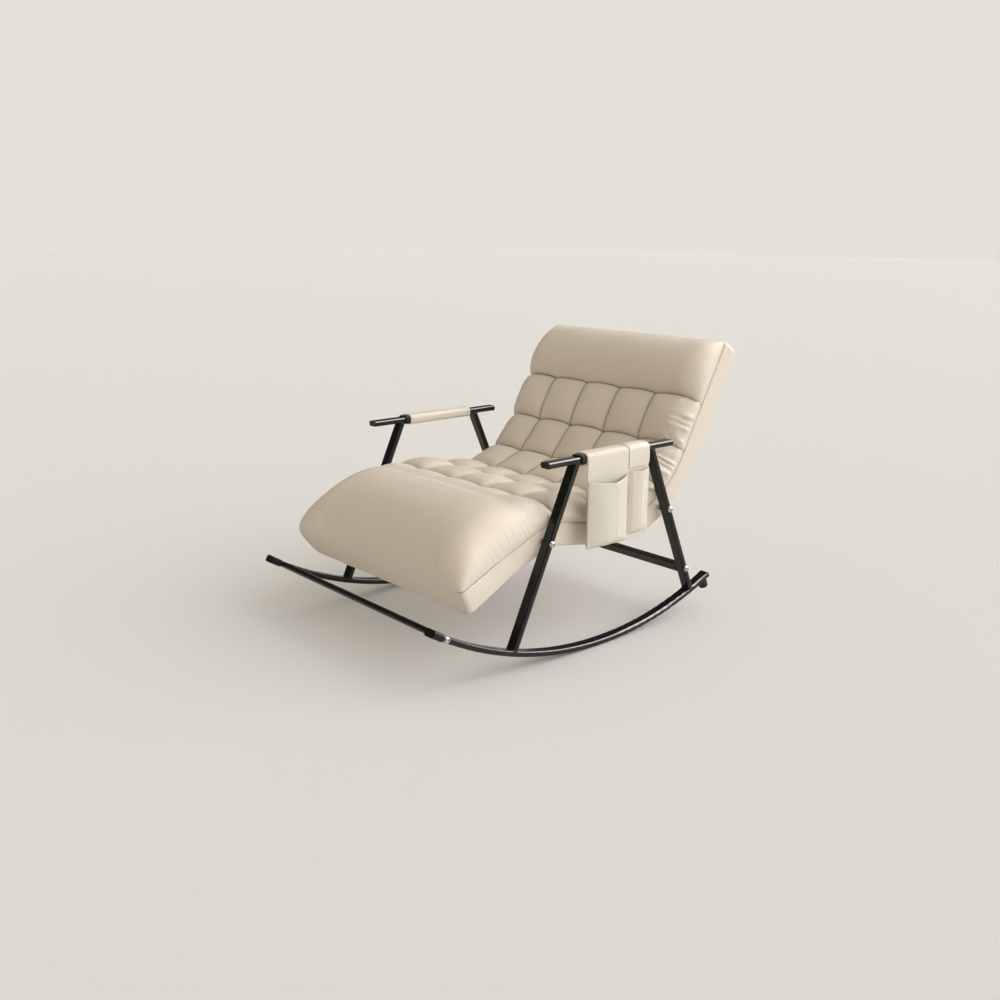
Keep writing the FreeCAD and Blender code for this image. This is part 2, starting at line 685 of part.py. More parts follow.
def make_pocket_back():
    """Cloth panel that hangs from a rolled hem along the sleeve's outer side."""
    height = POCKET_DROP
    panel = Part.makeBox(POCKET_CLOTH, SLEEVE_LENGTH, height,
                         Vec(POCKET_BACK - POCKET_CLOTH, -SLEEVE_FRONT_REACH, POCKET_BOTTOM))
    hem_middle = Vec(POCKET_BACK - POCKET_CLOTH / 2, -SLEEVE_FRONT_REACH, ARM_MIDDLE)
    hem = Part.makeCylinder(HEM_RADIUS, SLEEVE_LENGTH, hem_middle, REARWARD)
    return panel.fuse(hem)


def make_pouch(front, width, face, depth, bottom, mouth):
    """Open pouch on the back panel: a flat face whose rear side slopes back to the panel."""
    back = POCKET_BACK
    outline = [(back, front), (back + depth, front), (back + depth, front + face), (back, front + width)]
    inner = [(back - depth, front + POCKET_WALL), (back + depth - POCKET_WALL, front + POCKET_WALL)]
    run = width - face
    slope = math.hypot(run, depth) / depth
    lean = run / depth
    inner_edge = front + face + lean * POCKET_WALL - POCKET_WALL * slope
    inner.append((back + depth - POCKET_WALL, inner_edge))
    inner.append((back - depth, inner_edge + lean * (2 * depth - POCKET_WALL)))
    solids = []
    for corners, floor in ((outline, bottom), (inner, bottom + POCKET_WALL)):
        points = [Vec(x, y, floor) for x, y in corners + corners[:1]]
        solids.append(Part.Face(Part.makePolygon(points)).extrude(Vec(0, 0, mouth - floor)))
    return solids[0].cut(solids[1])


def make_magazine_pocket():
    return make_pouch(-SLEEVE_FRONT_REACH, MAGAZINE_WIDTH, MAGAZINE_FACE, MAGAZINE_DEPTH,
                      POCKET_BOTTOM + POCKET_BOTTOM_GAP, ARM_MIDDLE - MAGAZINE_MOUTH_DROP)


def make_remote_pocket():
    return make_pouch(SLEEVE_LENGTH - SLEEVE_FRONT_REACH - REMOTE_WIDTH, REMOTE_WIDTH, REMOTE_FACE, REMOTE_DEPTH,
                      POCKET_BOTTOM + REMOTE_BOTTOM_RAISE, ARM_MIDDLE - REMOTE_MOUTH_DROP)


def make_parts():
    """All sub-parts by name."""
    parts = {}
    pairs = {
        "rocker": make_rocker(),
        "front_leg": make_leg(FRONT_FOOT, FRONT_HEAD, FRONT_LEG_AXIS, [FRONT_MOUNT]),
        "rear_leg": make_leg(REAR_FOOT, REAR_HEAD, REAR_LEG_AXIS, [REAR_MOUNT, REAR_BAR]),
        "armrest_bar": make_arm_bar(),
        "arm_pad": make_arm_pad(),
        "arm_sleeve": make_sleeve(),
        "seat_side_rail": make_side_rail(),
        "side_border": make_side_border(),
    }
    for name, shape in pairs.items():
        parts[name + "_left"] = shape
        parts[name + "_right"] = mirrored(shape)

    parts["rocker_tip_caps"] = both_sides([make_tip_cap()])
    parts["rocker_rear_plugs"] = both_sides([make_rocker_plug()])
    parts["rear_stops"] = both_sides([make_stop()])
    parts["rear_stop_screws"] = both_sides([make_stop_screw()])
    parts["armrest_end_caps"] = both_sides(make_arm_caps())
    parts["front_crossbar"] = make_front_bar()
    parts["front_crossbar_plugs"] = both_sides([make_front_bar_plug()])
    parts["rear_crossbar"] = make_rear_bar()
    parts["rear_crossbar_plugs"] = both_sides([make_rear_bar_plug()])

    bar_bolt_end = FRAME_IN - BAR_PLUG_LENGTH
    seat_bolt_end = RAIL_OUT - RIVET_LENGTH
    parts["front_crossbar_bolts"] = both_sides([make_bolt(FRONT_BAR, bar_bolt_end)])
    parts["rear_crossbar_bolts"] = both_sides([make_bolt(REAR_BAR, bar_bolt_end)])
    parts["seat_bolts"] = both_sides([make_bolt(middle, seat_bolt_end) for middle in SEAT_MOUNTS])
    bolted = (FRONT_BAR, REAR_BAR) + SEAT_MOUNTS
    parts["bolt_washers"] = both_sides([make_washer(middle) for middle in bolted])
    parts["seat_spacers"] = both_sides([make_spacer(middle) for middle in SEAT_MOUNTS])
    parts["seat_rivet_nuts"] = both_sides([make_rivet_nut(middle) for middle in SEAT_MOUNTS])

    cross_rails = {
        "front": CROSS_RAIL_INSET,
        "knee": CREASES[0],
        "hip": CREASES[3],
        "top": LINE.length - CROSS_RAIL_INSET,
    }
    for name, s in cross_rails.items():
        parts["cross_rail_" + name] = make_cross_rail(s)

    hip = CREASES[3]
    start = COVER_THICKNESS
    end = LINE.length - COVER_THICKNESS
    parts["leg_rest_webbing"] = make_webbing(start, CREASES[0], LEG_REST_STRAPS)
    parts["seat_webbing"] = make_webbing(CREASES[0], hip, SEAT_STRAPS)
    parts["back_webbing"] = make_webbing(hip, end, BACK_STRAPS)
    parts["leg_rest_foam"] = make_foam(start, CREASES[0])
    parts["seat_foam"] = make_foam(CREASES[0], hip)
    parts["back_foam"] = make_foam(hip, end)

    rows = ("seat_row_front", "seat_row_rear", "lumbar_row", "back_row_lower", "back_row_upper")
    for index, name in enumerate(rows):
        parts[name] = make_row(index)
    parts["leg_rest_roll"] = make_leg_rest()
    parts["headrest_roll"] = make_headrest()
    parts["front_border"] = make_end_border(0)
    parts["top_border"] = make_end_border(LINE.length - COVER_THICKNESS)
    parts["under_cover"] = make_under_cover()

    parts["pocket_back"] = make_pocket_back()
    parts["magazine_pocket"] = make_magazine_pocket()
    parts["remote_pocket"] = make_remote_pocket()
    return parts


def main():
    os.makedirs("parts", exist_ok=True)
    for name, shape in make_parts().items():
        if not shape.isValid():
            print("invalid shape:", name)
        shape.exportStep("parts/" + name + ".step")
    print("creases", [round(s, 1) for s in CREASES], "length", round(LINE.length, 1))
    print("seat mounts", [(round(p.y, 1), round(p.z, 1)) for p in SEAT_MOUNTS])
    print("hinge", round(POCKET_BACK - POCKET_CLOTH / 2, 2), round(ARM_MIDDLE, 2))


main()
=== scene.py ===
"""Looks of the upholstered rocking chair: cushions, arm sleeves, side pocket, finishes and studio."""

import logging
import math
from dataclasses import dataclass, field
from enum import Enum
from typing import Sequence

import bmesh
import bpy
import numpy as np
from bpy.types import Material, Mesh, Node, NodeSocket, NodeTree, Object
from mathutils import Matrix, Vector


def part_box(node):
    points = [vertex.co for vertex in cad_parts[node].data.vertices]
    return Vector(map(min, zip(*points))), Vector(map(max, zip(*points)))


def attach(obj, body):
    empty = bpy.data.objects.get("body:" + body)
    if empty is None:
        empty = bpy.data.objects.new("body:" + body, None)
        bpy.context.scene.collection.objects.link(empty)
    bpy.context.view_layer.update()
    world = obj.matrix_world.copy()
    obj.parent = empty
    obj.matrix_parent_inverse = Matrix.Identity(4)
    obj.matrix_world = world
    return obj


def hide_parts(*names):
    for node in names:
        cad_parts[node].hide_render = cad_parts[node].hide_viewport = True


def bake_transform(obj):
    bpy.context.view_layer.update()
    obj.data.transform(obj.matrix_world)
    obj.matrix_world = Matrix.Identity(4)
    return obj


LOG = logging.getLogger("rocking_chair")
Colour = tuple[float, float, float]
Point2 = tuple[float, float]
Point3 = tuple[float, float, float]
Faces = list[tuple[int, ...]]

SEAT_WIDTH = 0.650
BASE_HEIGHT = 0.058
TUBE_WIDTH = 0.030
TUBE_DEPTH = 0.015
TUBE_CORNER = 0.005
FRAME_REACH = 0.350
SAME_PLACE = 1e-6
WAVE_COUNT = 5
WAVE_GROWTH = 1.45
WAVE_FADE = 1.3
WAVE_SCALE = 3.0

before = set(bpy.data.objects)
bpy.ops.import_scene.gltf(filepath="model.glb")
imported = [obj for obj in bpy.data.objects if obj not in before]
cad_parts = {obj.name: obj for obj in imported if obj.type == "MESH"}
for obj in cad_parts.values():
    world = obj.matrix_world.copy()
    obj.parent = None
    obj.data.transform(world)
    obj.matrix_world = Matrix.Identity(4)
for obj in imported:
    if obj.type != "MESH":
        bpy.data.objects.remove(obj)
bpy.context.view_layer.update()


class Side(Enum):
    """The sitter's two sides, as the sign of X."""

    LEFT = 1
    RIGHT = -1

    @property
    def word(self) -> str:
        """The side's name as node names write it."""
        return self.name.lower()


class Body(Enum):
    """The bodies that pieces ride on."""

    CHAIR = "chair"
    POCKET = "pocket"


class Slot(Enum):
    """Names of the record's material slots."""

    COVER = "upholstery_beige"
    SLEEVE = "sleeve_beige"
    PAD = "pad_foam_black"
    PAINT = "frame_black"


# Small helpers for shapes


def ease(t: np.ndarray) -> np.ndarray:
    """Rise from 0 to 1 as t does, flat at both ends."""
    t = np.clip(t, 0.0, 1.0)
    return t * t * (3.0 - 2.0 * t)


def walked(points: np.ndarray) -> np.ndarray:
    """Give the length walked along a line at each of its points."""
    steps = np.linalg.norm(np.diff(points, axis=0), axis=1)
    return np.concatenate([[0.0], np.cumsum(steps)])


def closed(points: np.ndarray) -> np.ndarray:
    """Repeat the first point of a ring at its end."""
    return np.vstack([points, points[:1]])


def resample(dense: np.ndarray, count: int) -> np.ndarray:
    """Spread points evenly along a line.

    Args:
        dense: points of the line, one to a row.
        count: steps wanted.

    Returns:
        The count + 1 evenly spaced points.
    """
    places = walked(dense)
    wanted = np.linspace(0.0, places[-1], count + 1)
    return np.stack([np.interp(wanted, places, column) for column in dense.T], axis=1)


def smooth_line(points: Sequence[Sequence[float]], count: int, samples: int = 24) -> np.ndarray:
    """Draw an even line that passes smoothly through a few points.

    Args:
        points: the places that it passes.
        count: steps wanted.
        samples: places worked out between two of the points.

    Returns:
        The count + 1 evenly spaced points.
    """
    knots = np.array(points, float)
    padded = np.vstack([2 * knots[0] - knots[1], knots, 2 * knots[-1] - knots[-2]])
    runs = np.sqrt(np.linalg.norm(np.diff(padded, axis=0), axis=1))
    times = np.concatenate([[0.0], np.cumsum(runs)])
    dense = []
    for index in range(1, len(padded) - 2):
        t0, t1, t2, t3 = times[index - 1 : index + 3]
        p0, p1, p2, p3 = padded[index - 1 : index + 3]
        t = np.linspace(t1, t2, samples, endpoint=False)[:, None]
        a1 = (t1 - t) / (t1 - t0) * p0 + (t - t0) / (t1 - t0) * p1
        a2 = (t2 - t) / (t2 - t1) * p1 + (t - t1) / (t2 - t1) * p2
        a3 = (t3 - t) / (t3 - t2) * p2 + (t - t2) / (t3 - t2) * p3
        b1 = (t2 - t) / (t2 - t0) * a1 + (t - t0) / (t2 - t0) * a2
        b2 = (t3 - t) / (t3 - t1) * a2 + (t - t1) / (t3 - t1) * a3
        dense.append((t2 - t) / (t2 - t1) * b1 + (t - t1) / (t2 - t1) * b2)
    dense.append(knots[-1:])
    return resample(np.vstack(dense), count)


def ripple(u: np.ndarray, v: np.ndarray, wave: float, seed: int) -> np.ndarray:
    """Give an uneven surface wave from a few crossed sines.

    Args:
        u: first surface coordinate, in metres.
        v: second surface coordinate, in metres.
        wave: the longest wave length, in metres.
        seed: number that fixes the directions and phases.

    Returns:
        Heights from about -1 to 1.
    """
    chance = np.random.default_rng(seed)
    total = np.zeros(np.broadcast(u, v).shape)
    for octave in range(WAVE_COUNT):
        angle = chance.uniform(0, math.pi)
        phase = chance.uniform(0, 2 * math.pi)
        reach = 2 * math.pi / wave * WAVE_GROWTH**octave
        run = u * math.cos(angle) + v * math.sin(angle)
        total = total + np.sin(reach * run + phase) / WAVE_FADE**octave
    return total / WAVE_SCALE


def make_object(name: str, points: np.ndarray, faces: Faces) -> Object:
    """Make a smooth mesh object at the origin.

    Args:
        name: name of the piece.
        points: its vertices, in metres.
        faces: vertex numbers of each face.

    Returns:
        The new object.
    """
    mesh = bpy.data.meshes.new(name)
    mesh.from_pydata([tuple(point) for point in points.tolist()], [], faces)
    mesh.update()
    mesh.shade_smooth()
    piece = bpy.data.objects.new(name, mesh)
    bpy.context.scene.collection.objects.link(piece)
    return piece


def turn_outward(piece: Object) -> None:
    """Make the faces of a closed piece point outwards.

    Args:
        piece: the closed piece.
    """
    work = bmesh.new()
    work.from_mesh(piece.data)
    bmesh.ops.recalc_face_normals(work, faces=work.faces)
    work.to_mesh(piece.data)
    work.free()


def grid_faces(rows: int, columns: int, start: int = 0, ring: bool = False, loop: bool = False) -> Faces:
    """List the faces of a grid of points.

    Args:
        rows: points along the first direction.
        columns: points along the second direction.
        start: number of the first point.
        ring: True where the last column meets the first again.
        loop: True where the last row meets the first again.

    Returns:
        One face for each cell.
    """
    faces = []
    for row in range(rows if loop else rows - 1):
        low = start + row * columns
        high = start + (row + 1) % rows * columns
        for column in range(columns if ring else columns - 1):
            after = (column + 1) % columns
            faces.append((low + column, low + after, high + after, high + column))
    return faces


def bake(piece: Object) -> None:
    """Turn a piece's modifiers into plain mesh.

    Args:
        piece: the piece to change.
    """
    graph = bpy.context.evaluated_depsgraph_get()
    solid = bpy.data.meshes.new_from_object(piece.evaluated_get(graph), depsgraph=graph)
    piece.modifiers.clear()
    old = piece.data
    solid.name = piece.name
    piece.data = solid
    bpy.data.meshes.remove(old)


def add_subdivision(piece: Object, levels: int = 1) -> None:
    """Round a piece with a subdivision surface.

    Args:
        piece: the piece to round.
        levels: how often it is divided.
    """
    modifier = piece.modifiers.new("soft", "SUBSURF")
    modifier.levels = levels
    modifier.render_levels = levels


def make_sheet(name: str, rows: np.ndarray, thickness: float) -> Object:
    """Make a closed sheet of cloth with soft edges.

    Args:
        name: name of the piece.
        rows: points of its middle, row by row.
        thickness: the cloth's thickness.

    Returns:
        The new piece.
    """
    piece = make_object(name, rows.reshape(-1, 3), grid_faces(*rows.shape[:2]))
    wall = piece.modifiers.new("wall", "SOLIDIFY")
    wall.thickness = thickness
    wall.offset = 0.0
    add_subdivision(piece)
    bake(piece)
    turn_outward(piece)
    return piece


def dress(piece: Object, material: Material, body: Body) -> None:
    """Give a piece its finish and the body that it rides on.

    Args:
        piece: the finished piece.
        material: its finish.
        body: the body that carries it.
    """
    piece.data.materials.clear()
    piece.data.materials.append(material)
    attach(piece, body.value)
    LOG.info("%s on %s: %d faces", piece.name, body.value, len(piece.data.polygons))


# Shader effects and finishes


class Wiring:
    """Adds nodes to one tree and joins them."""

    def __init__(self, tree: NodeTree) -> None:
        """Start from an empty tree."""
        self.tree = tree
        tree.nodes.clear()

    def add(self, kind: str, inputs: dict | None = None, **settings: object) -> Node:
        """Add one node.

        Args:
            kind: Blender's name of the node type.
            inputs: by socket name or number, a value to set or a socket to join.
            settings: properties of the node.

        Returns:
            The new node.
        """
        node = self.tree.nodes.new(kind)
        for name, value in settings.items():
            setattr(node, name, value)
        for name, value in (inputs or {}).items():
            if isinstance(value, NodeSocket):
                self.tree.links.new(value, node.inputs[name])
            else:
                node.inputs[name].default_value = value
        return node

    def math(self, operation: str, first: object, second: object = 0.0) -> NodeSocket:
        """Add one sum of numbers or sockets and give the socket with its result."""
        return self.add("ShaderNodeMath", {0: first, 1: second}, operation=operation).outputs[0]

    def mix(self, share: object, first: object, second: object) -> NodeSocket:
        """Mix two colours.

        Args:
            share: share of the second, as a number or a socket.
            first: a colour or a socket.
            second: a colour or a socket.

        Returns:
            The socket with the mixed colour.
        """
        inputs = {"Factor": share}
        for name, colour in (("A", first), ("B", second)):
            inputs[name] = colour if isinstance(colour, NodeSocket) else (*colour, 1.0)
        return self.add("ShaderNodeMix", inputs, data_type="RGBA").outputs["Result"]


def make_group(
    name: str, kind: str, inputs: dict[str, tuple[str, object]], outputs: dict[str, str]
) -> Wiring:
    """Start a node group with named sockets.

    Args:
        name: the group's name.
        kind: Blender's name of the tree type.
        inputs: socket type and value of each input.
        outputs: socket type of each output.

    Returns:
        The wiring of the empty group.
    """
    tree = bpy.data.node_groups.new(name, kind)
    for label, (socket_type, value) in inputs.items():
        socket = tree.interface.new_socket(name=label, in_out="INPUT", socket_type=socket_type)
        if value is not None:
            socket.default_value = value
    for label, socket_type in outputs.items():
        tree.interface.new_socket(name=label, in_out="OUTPUT", socket_type=socket_type)
    return Wiring(tree)


FLOAT = "NodeSocketFloat"
VECTOR = "NodeSocketVector"


def make_grain_group() -> NodeTree:
    """Build the pebbled grain of a coated cloth: a height and a slow change of tone.

    Returns:
        The group.
    """
    wiring = make_group(
        "pebble_grain",
        "ShaderNodeTree",
        {"Vector": (VECTOR, None), "Pebbles per metre": (FLOAT, 700.0), "Creasing": (FLOAT, 0.3)},
        {"Height": FLOAT, "Tone": FLOAT},
    )
    source = wiring.add("NodeGroupInput").outputs
    bend = wiring.add("ShaderNodeTexNoise", {"Vector": source[0], "Scale": 90.0, "Detail": 2.0})
    reach = (0.0016, 0.0016, 0.0016)
    offset = wiring.add("ShaderNodeVectorMath", {0: bend.outputs["Color"], 1: reach}, operation="MULTIPLY")
    place = wiring.add("ShaderNodeVectorMath", {0: source[0], 1: offset.outputs[0]}, operation="ADD")
    pebble = wiring.add(
        "ShaderNodeTexVoronoi",
        {"Vector": place.outputs[0], "Scale": source[1]},
        feature="DISTANCE_TO_EDGE",
    )
    domed = wiring.add(
        "ShaderNodeMapRange",
        {"Value": pebble.outputs["Distance"], "From Max": 0.22},
        interpolation_type="SMOOTHSTEP",
    )
    crease = wiring.add(
        "ShaderNodeTexNoise", {"Vector": source[0], "Scale": 55.0, "Detail": 4.0, "Roughness": 0.6}
    )
    slow = wiring.math("MULTIPLY", crease.outputs["Fac"], source[2])
    height = wiring.math("ADD", domed.outputs["Result"], slow)
    tone = wiring.add("ShaderNodeTexNoise", {"Vector": source[0], "Scale": 7.0, "Detail": 3.0})
    wiring.add("NodeGroupOutput", {"Height": height, "Tone": tone.outputs["Fac"]})
    return wiring.tree


def make_weave_group() -> NodeTree:
    """Build a plain weave: the height of crossed threads.

    Returns:
        The group.
    """
    wiring = make_group(
        "plain_weave",
        "ShaderNodeTree",
        {"Vector": (VECTOR, None), "Threads per metre": (FLOAT, 900.0)},
        {"Height": FLOAT},
    )
    source = wiring.add("NodeGroupInput").outputs
    spread = wiring.add("ShaderNodeVectorMath", {0: source[0], "Scale": source[1]}, operation="SCALE")
    parts = wiring.add("ShaderNodeSeparateXYZ", {0: spread.outputs[0]}).outputs
    first = wiring.math("SINE", wiring.math("ADD", parts[0], parts[2]))
    second = wiring.math("SINE", parts[1])
    height = wiring.math("MULTIPLY", first, second)
    wiring.add("NodeGroupOutput", {"Height": height})
    return wiring.tree


def make_smudge_group() -> NodeTree:
    """Build the marks of handling: a patchy mask and a fine speckle.

    Returns:
        The group.
    """
    wiring = make_group(
        "handling_marks",
        "ShaderNodeTree",
        {"Vector": (VECTOR, None), "Patches per metre": (FLOAT, 12.0)},
        {"Mask": FLOAT, "Speckle": FLOAT},
    )
    source = wiring.add("NodeGroupInput").outputs
    patch = wiring.add("ShaderNodeTexNoise", {"Vector": source[0], "Scale": source[1], "Detail": 5.0})
    mask = wiring.add(
        "ShaderNodeMapRange", {"Value": patch.outputs["Fac"], "From Min": 0.42, "From Max": 0.68}
    )
    speckle = wiring.add("ShaderNodeTexNoise", {"Vector": source[0], "Scale": 900.0, "Detail": 2.0})
    wiring.add("NodeGroupOutput", {"Mask": mask.outputs["Result"], "Speckle": speckle.outputs["Fac"]})
    return wiring.tree


GRAIN = make_grain_group()
WEAVE = make_weave_group()
SMUDGE = make_smudge_group()


class FinishKind(Enum):
    """Kinds of surface that share a way of wiring."""

    CLOTH = "cloth"
    PAINT = "paint"
    FOAM = "foam"
    METAL = "metal"
    WEBBING = "webbing"


@dataclass(frozen=True)
class Finish:
    """One finish of the chair, as the values of its shader."""

    name: str
    kind: FinishKind
    colour: Colour
    shade: Colour
    roughness: float
    roughness_spread: float = 0.08
    metallic: float = 0.0
    specular: float = 0.5
    coat: float = 0.0
    coat_roughness: float = 0.12
    sheen: float = 0.0
    sheen_roughness: float = 0.45
    detail_scale: float = 700.0
    bump_depth: float = 0.0002
    creasing: float = 0.3
    brush_stretch: float = 40.0
    wear_patches: float = 20.0
    # Painted shade in the creases: how strong it is and how dark, read from the point attribute seam.
    crease_shade_depth: float = 0.0
    crease_shade_dark: float = 0.25

    def material(self) -> Material:
        """Build the finish as a material.

        Returns:
            The new material.
        """
        material = bpy.data.materials.new(self.name)
        material.use_nodes = True
        wiring = Wiring(material.node_tree)
        place = wiring.add("ShaderNodeTexCoord").outputs["Object"]
        height, tone = self.detail(wiring, place)
        marks = wiring.add("ShaderNodeGroup", {"Vector": place}, node_tree=SMUDGE)
        colour = wiring.mix(tone, self.colour, self.shade)
        # Painted shade: darken the colour towards the creases and column seams, where the seam attribute is
        # high.
        if self.crease_shade_depth > 0:
            seam = wiring.add("ShaderNodeAttribute", attribute_name="seam").outputs["Fac"]
            strength = wiring.math("MULTIPLY", seam, self.crease_shade_depth)
            colour = wiring.mix(strength, colour, [self.crease_shade_dark * part for part in self.shade])
        low = self.roughness - self.roughness_spread
        high = self.roughness + self.roughness_spread
        rough = wiring.add(
            "ShaderNodeMapRange", {"Value": marks.outputs["Mask"], "To Min": low, "To Max": high}
        )
        bump = wiring.add(
            "ShaderNodeBump", {"Height": height, "Distance": self.bump_depth, "Strength": 1.0}
        )
        shader = wiring.add(
            "ShaderNodeBsdfPrincipled",
            {
                "Base Color": colour,
                "Roughness": rough.outputs["Result"],
                "Normal": bump.outputs["Normal"],
                "Metallic": self.metallic,
                "Specular IOR Level": self.specular,
                "Coat Weight": self.coat,
                "Coat Roughness": self.coat_roughness,
                "Sheen Weight": self.sheen,
                "Sheen Roughness": self.sheen_roughness,
            },
        )
        wiring.add("ShaderNodeOutputMaterial", {"Surface": shader.outputs["BSDF"]})
        return material

    def detail(
        self, wiring: Wiring, place: NodeSocket
    ) -> tuple[NodeSocket, NodeSocket]:
        """Wire the small relief of this kind of surface.

        Args:
            wiring: the material's wiring.
            place: the piece's own coordinates.

        Returns:
            The height and the tone over the surface.
        """
        if self.kind is FinishKind.CLOTH:
            values = {"Vector": place, "Pebbles per metre": self.detail_scale, "Creasing": self.creasing}
            grain = wiring.add("ShaderNodeGroup", values, node_tree=GRAIN)
            return grain.outputs["Height"], grain.outputs["Tone"]
        if self.kind is FinishKind.WEBBING:
            values = {"Vector": place, "Threads per metre": self.detail_scale}
            weave = wiring.add("ShaderNodeGroup", values, node_tree=WEAVE)
            return weave.outputs["Height"], weave.outputs["Height"]
        if self.kind is FinishKind.FOAM:
            cells = wiring.add("ShaderNodeTexVoronoi", {"Vector": place, "Scale": self.detail_scale})
            return cells.outputs["Distance"], cells.outputs["Distance"]
        if self.kind is FinishKind.METAL:
            stretch = (self.brush_stretch, 1.0, 1.0)
            lines = wiring.add("ShaderNodeMapping", {"Vector": place, "Scale": stretch}).outputs[0]
            brushed = wiring.add("ShaderNodeTexNoise", {"Vector": lines, "Scale": self.detail_scale})
            return brushed.outputs["Fac"], brushed.outputs["Fac"]
        peel = wiring.add(
            "ShaderNodeTexNoise", {"Vector": place, "Scale": self.detail_scale, "Detail": 1.0}
        )
        values = {"Vector": place, "Patches per metre": self.wear_patches}
        marks = wiring.add("ShaderNodeGroup", values, node_tree=SMUDGE)
        return peel.outputs["Fac"], marks.outputs["Mask"]


# The cover and sleeve get painted shade in the creases of pieces that carry the seam attribute; only the
# cushions carry it.
COVER = Finish("cover_cloth", FinishKind.CLOTH, (0.690, 0.612, 0.520), (0.650, 0.570, 0.478), 0.52,
               specular=0.4, sheen=0.10, detail_scale=620.0, bump_depth=0.00016, creasing=0.9,
               crease_shade_depth=0.35)
SLEEVE = Finish("sleeve_cloth", FinishKind.CLOTH, (0.665, 0.612, 0.535), (0.630, 0.576, 0.500), 0.58,
                specular=0.35, sheen=0.15, detail_scale=760.0, bump_depth=0.00014, creasing=1.2,
                crease_shade_depth=0.5)
THREAD = Finish("sewing_thread", FinishKind.WEBBING, (0.56, 0.49, 0.40), (0.48, 0.41, 0.33), 0.6,
                detail_scale=5200.0, bump_depth=0.00008)
# Dark colour of the cover's seam cords. It marks the sewn seams and also paints the shade in their creases.
SEAM_SHADE_CORD = Finish("seam_shade", FinishKind.WEBBING, (0.25, 0.18, 0.115), (0.20, 0.145, 0.09), 0.8,
              specular=0.2, detail_scale=5200.0, bump_depth=0.00008)
PAINT = Finish("gloss_black_paint", FinishKind.PAINT, (0.0085, 0.0076, 0.0065), (0.012, 0.0105, 0.009), 0.22,
               roughness_spread=0.05, specular=0.28, coat=0.12, detail_scale=520.0, bump_depth=0.000012)
PLASTIC = Finish("black_cap_plastic", FinishKind.PAINT, (0.009, 0.0082, 0.0075), (0.012, 0.011, 0.010), 0.40,
                 specular=0.25, detail_scale=1500.0, bump_depth=0.00005)
RUBBER = Finish("stop_rubber", FinishKind.PAINT, (0.014, 0.014, 0.014), (0.028, 0.027, 0.026), 0.75,
                specular=0.3, detail_scale=1100.0, bump_depth=0.0001)
STEEL = Finish("zinc_steel", FinishKind.METAL, (0.66, 0.66, 0.65), (0.50, 0.50, 0.50), 0.30,
               metallic=1.0, detail_scale=300.0, bump_depth=0.00003)
RAIL = Finish("grey_rail_paint", FinishKind.PAINT, (0.11, 0.11, 0.112), (0.085, 0.085, 0.088), 0.5,
              detail_scale=600.0, bump_depth=0.00004)
WEBBING = Finish("black_webbing", FinishKind.WEBBING, (0.022, 0.022, 0.024), (0.035, 0.035, 0.037), 0.8,
                 specular=0.25, detail_scale=2600.0, bump_depth=0.0004)
PAD_FOAM = Finish("black_pad_foam", FinishKind.FOAM, (0.010, 0.010, 0.010), (0.022, 0.021, 0.020), 0.85,
                  specular=0.25, detail_scale=900.0, bump_depth=0.0003)


# Upholstery


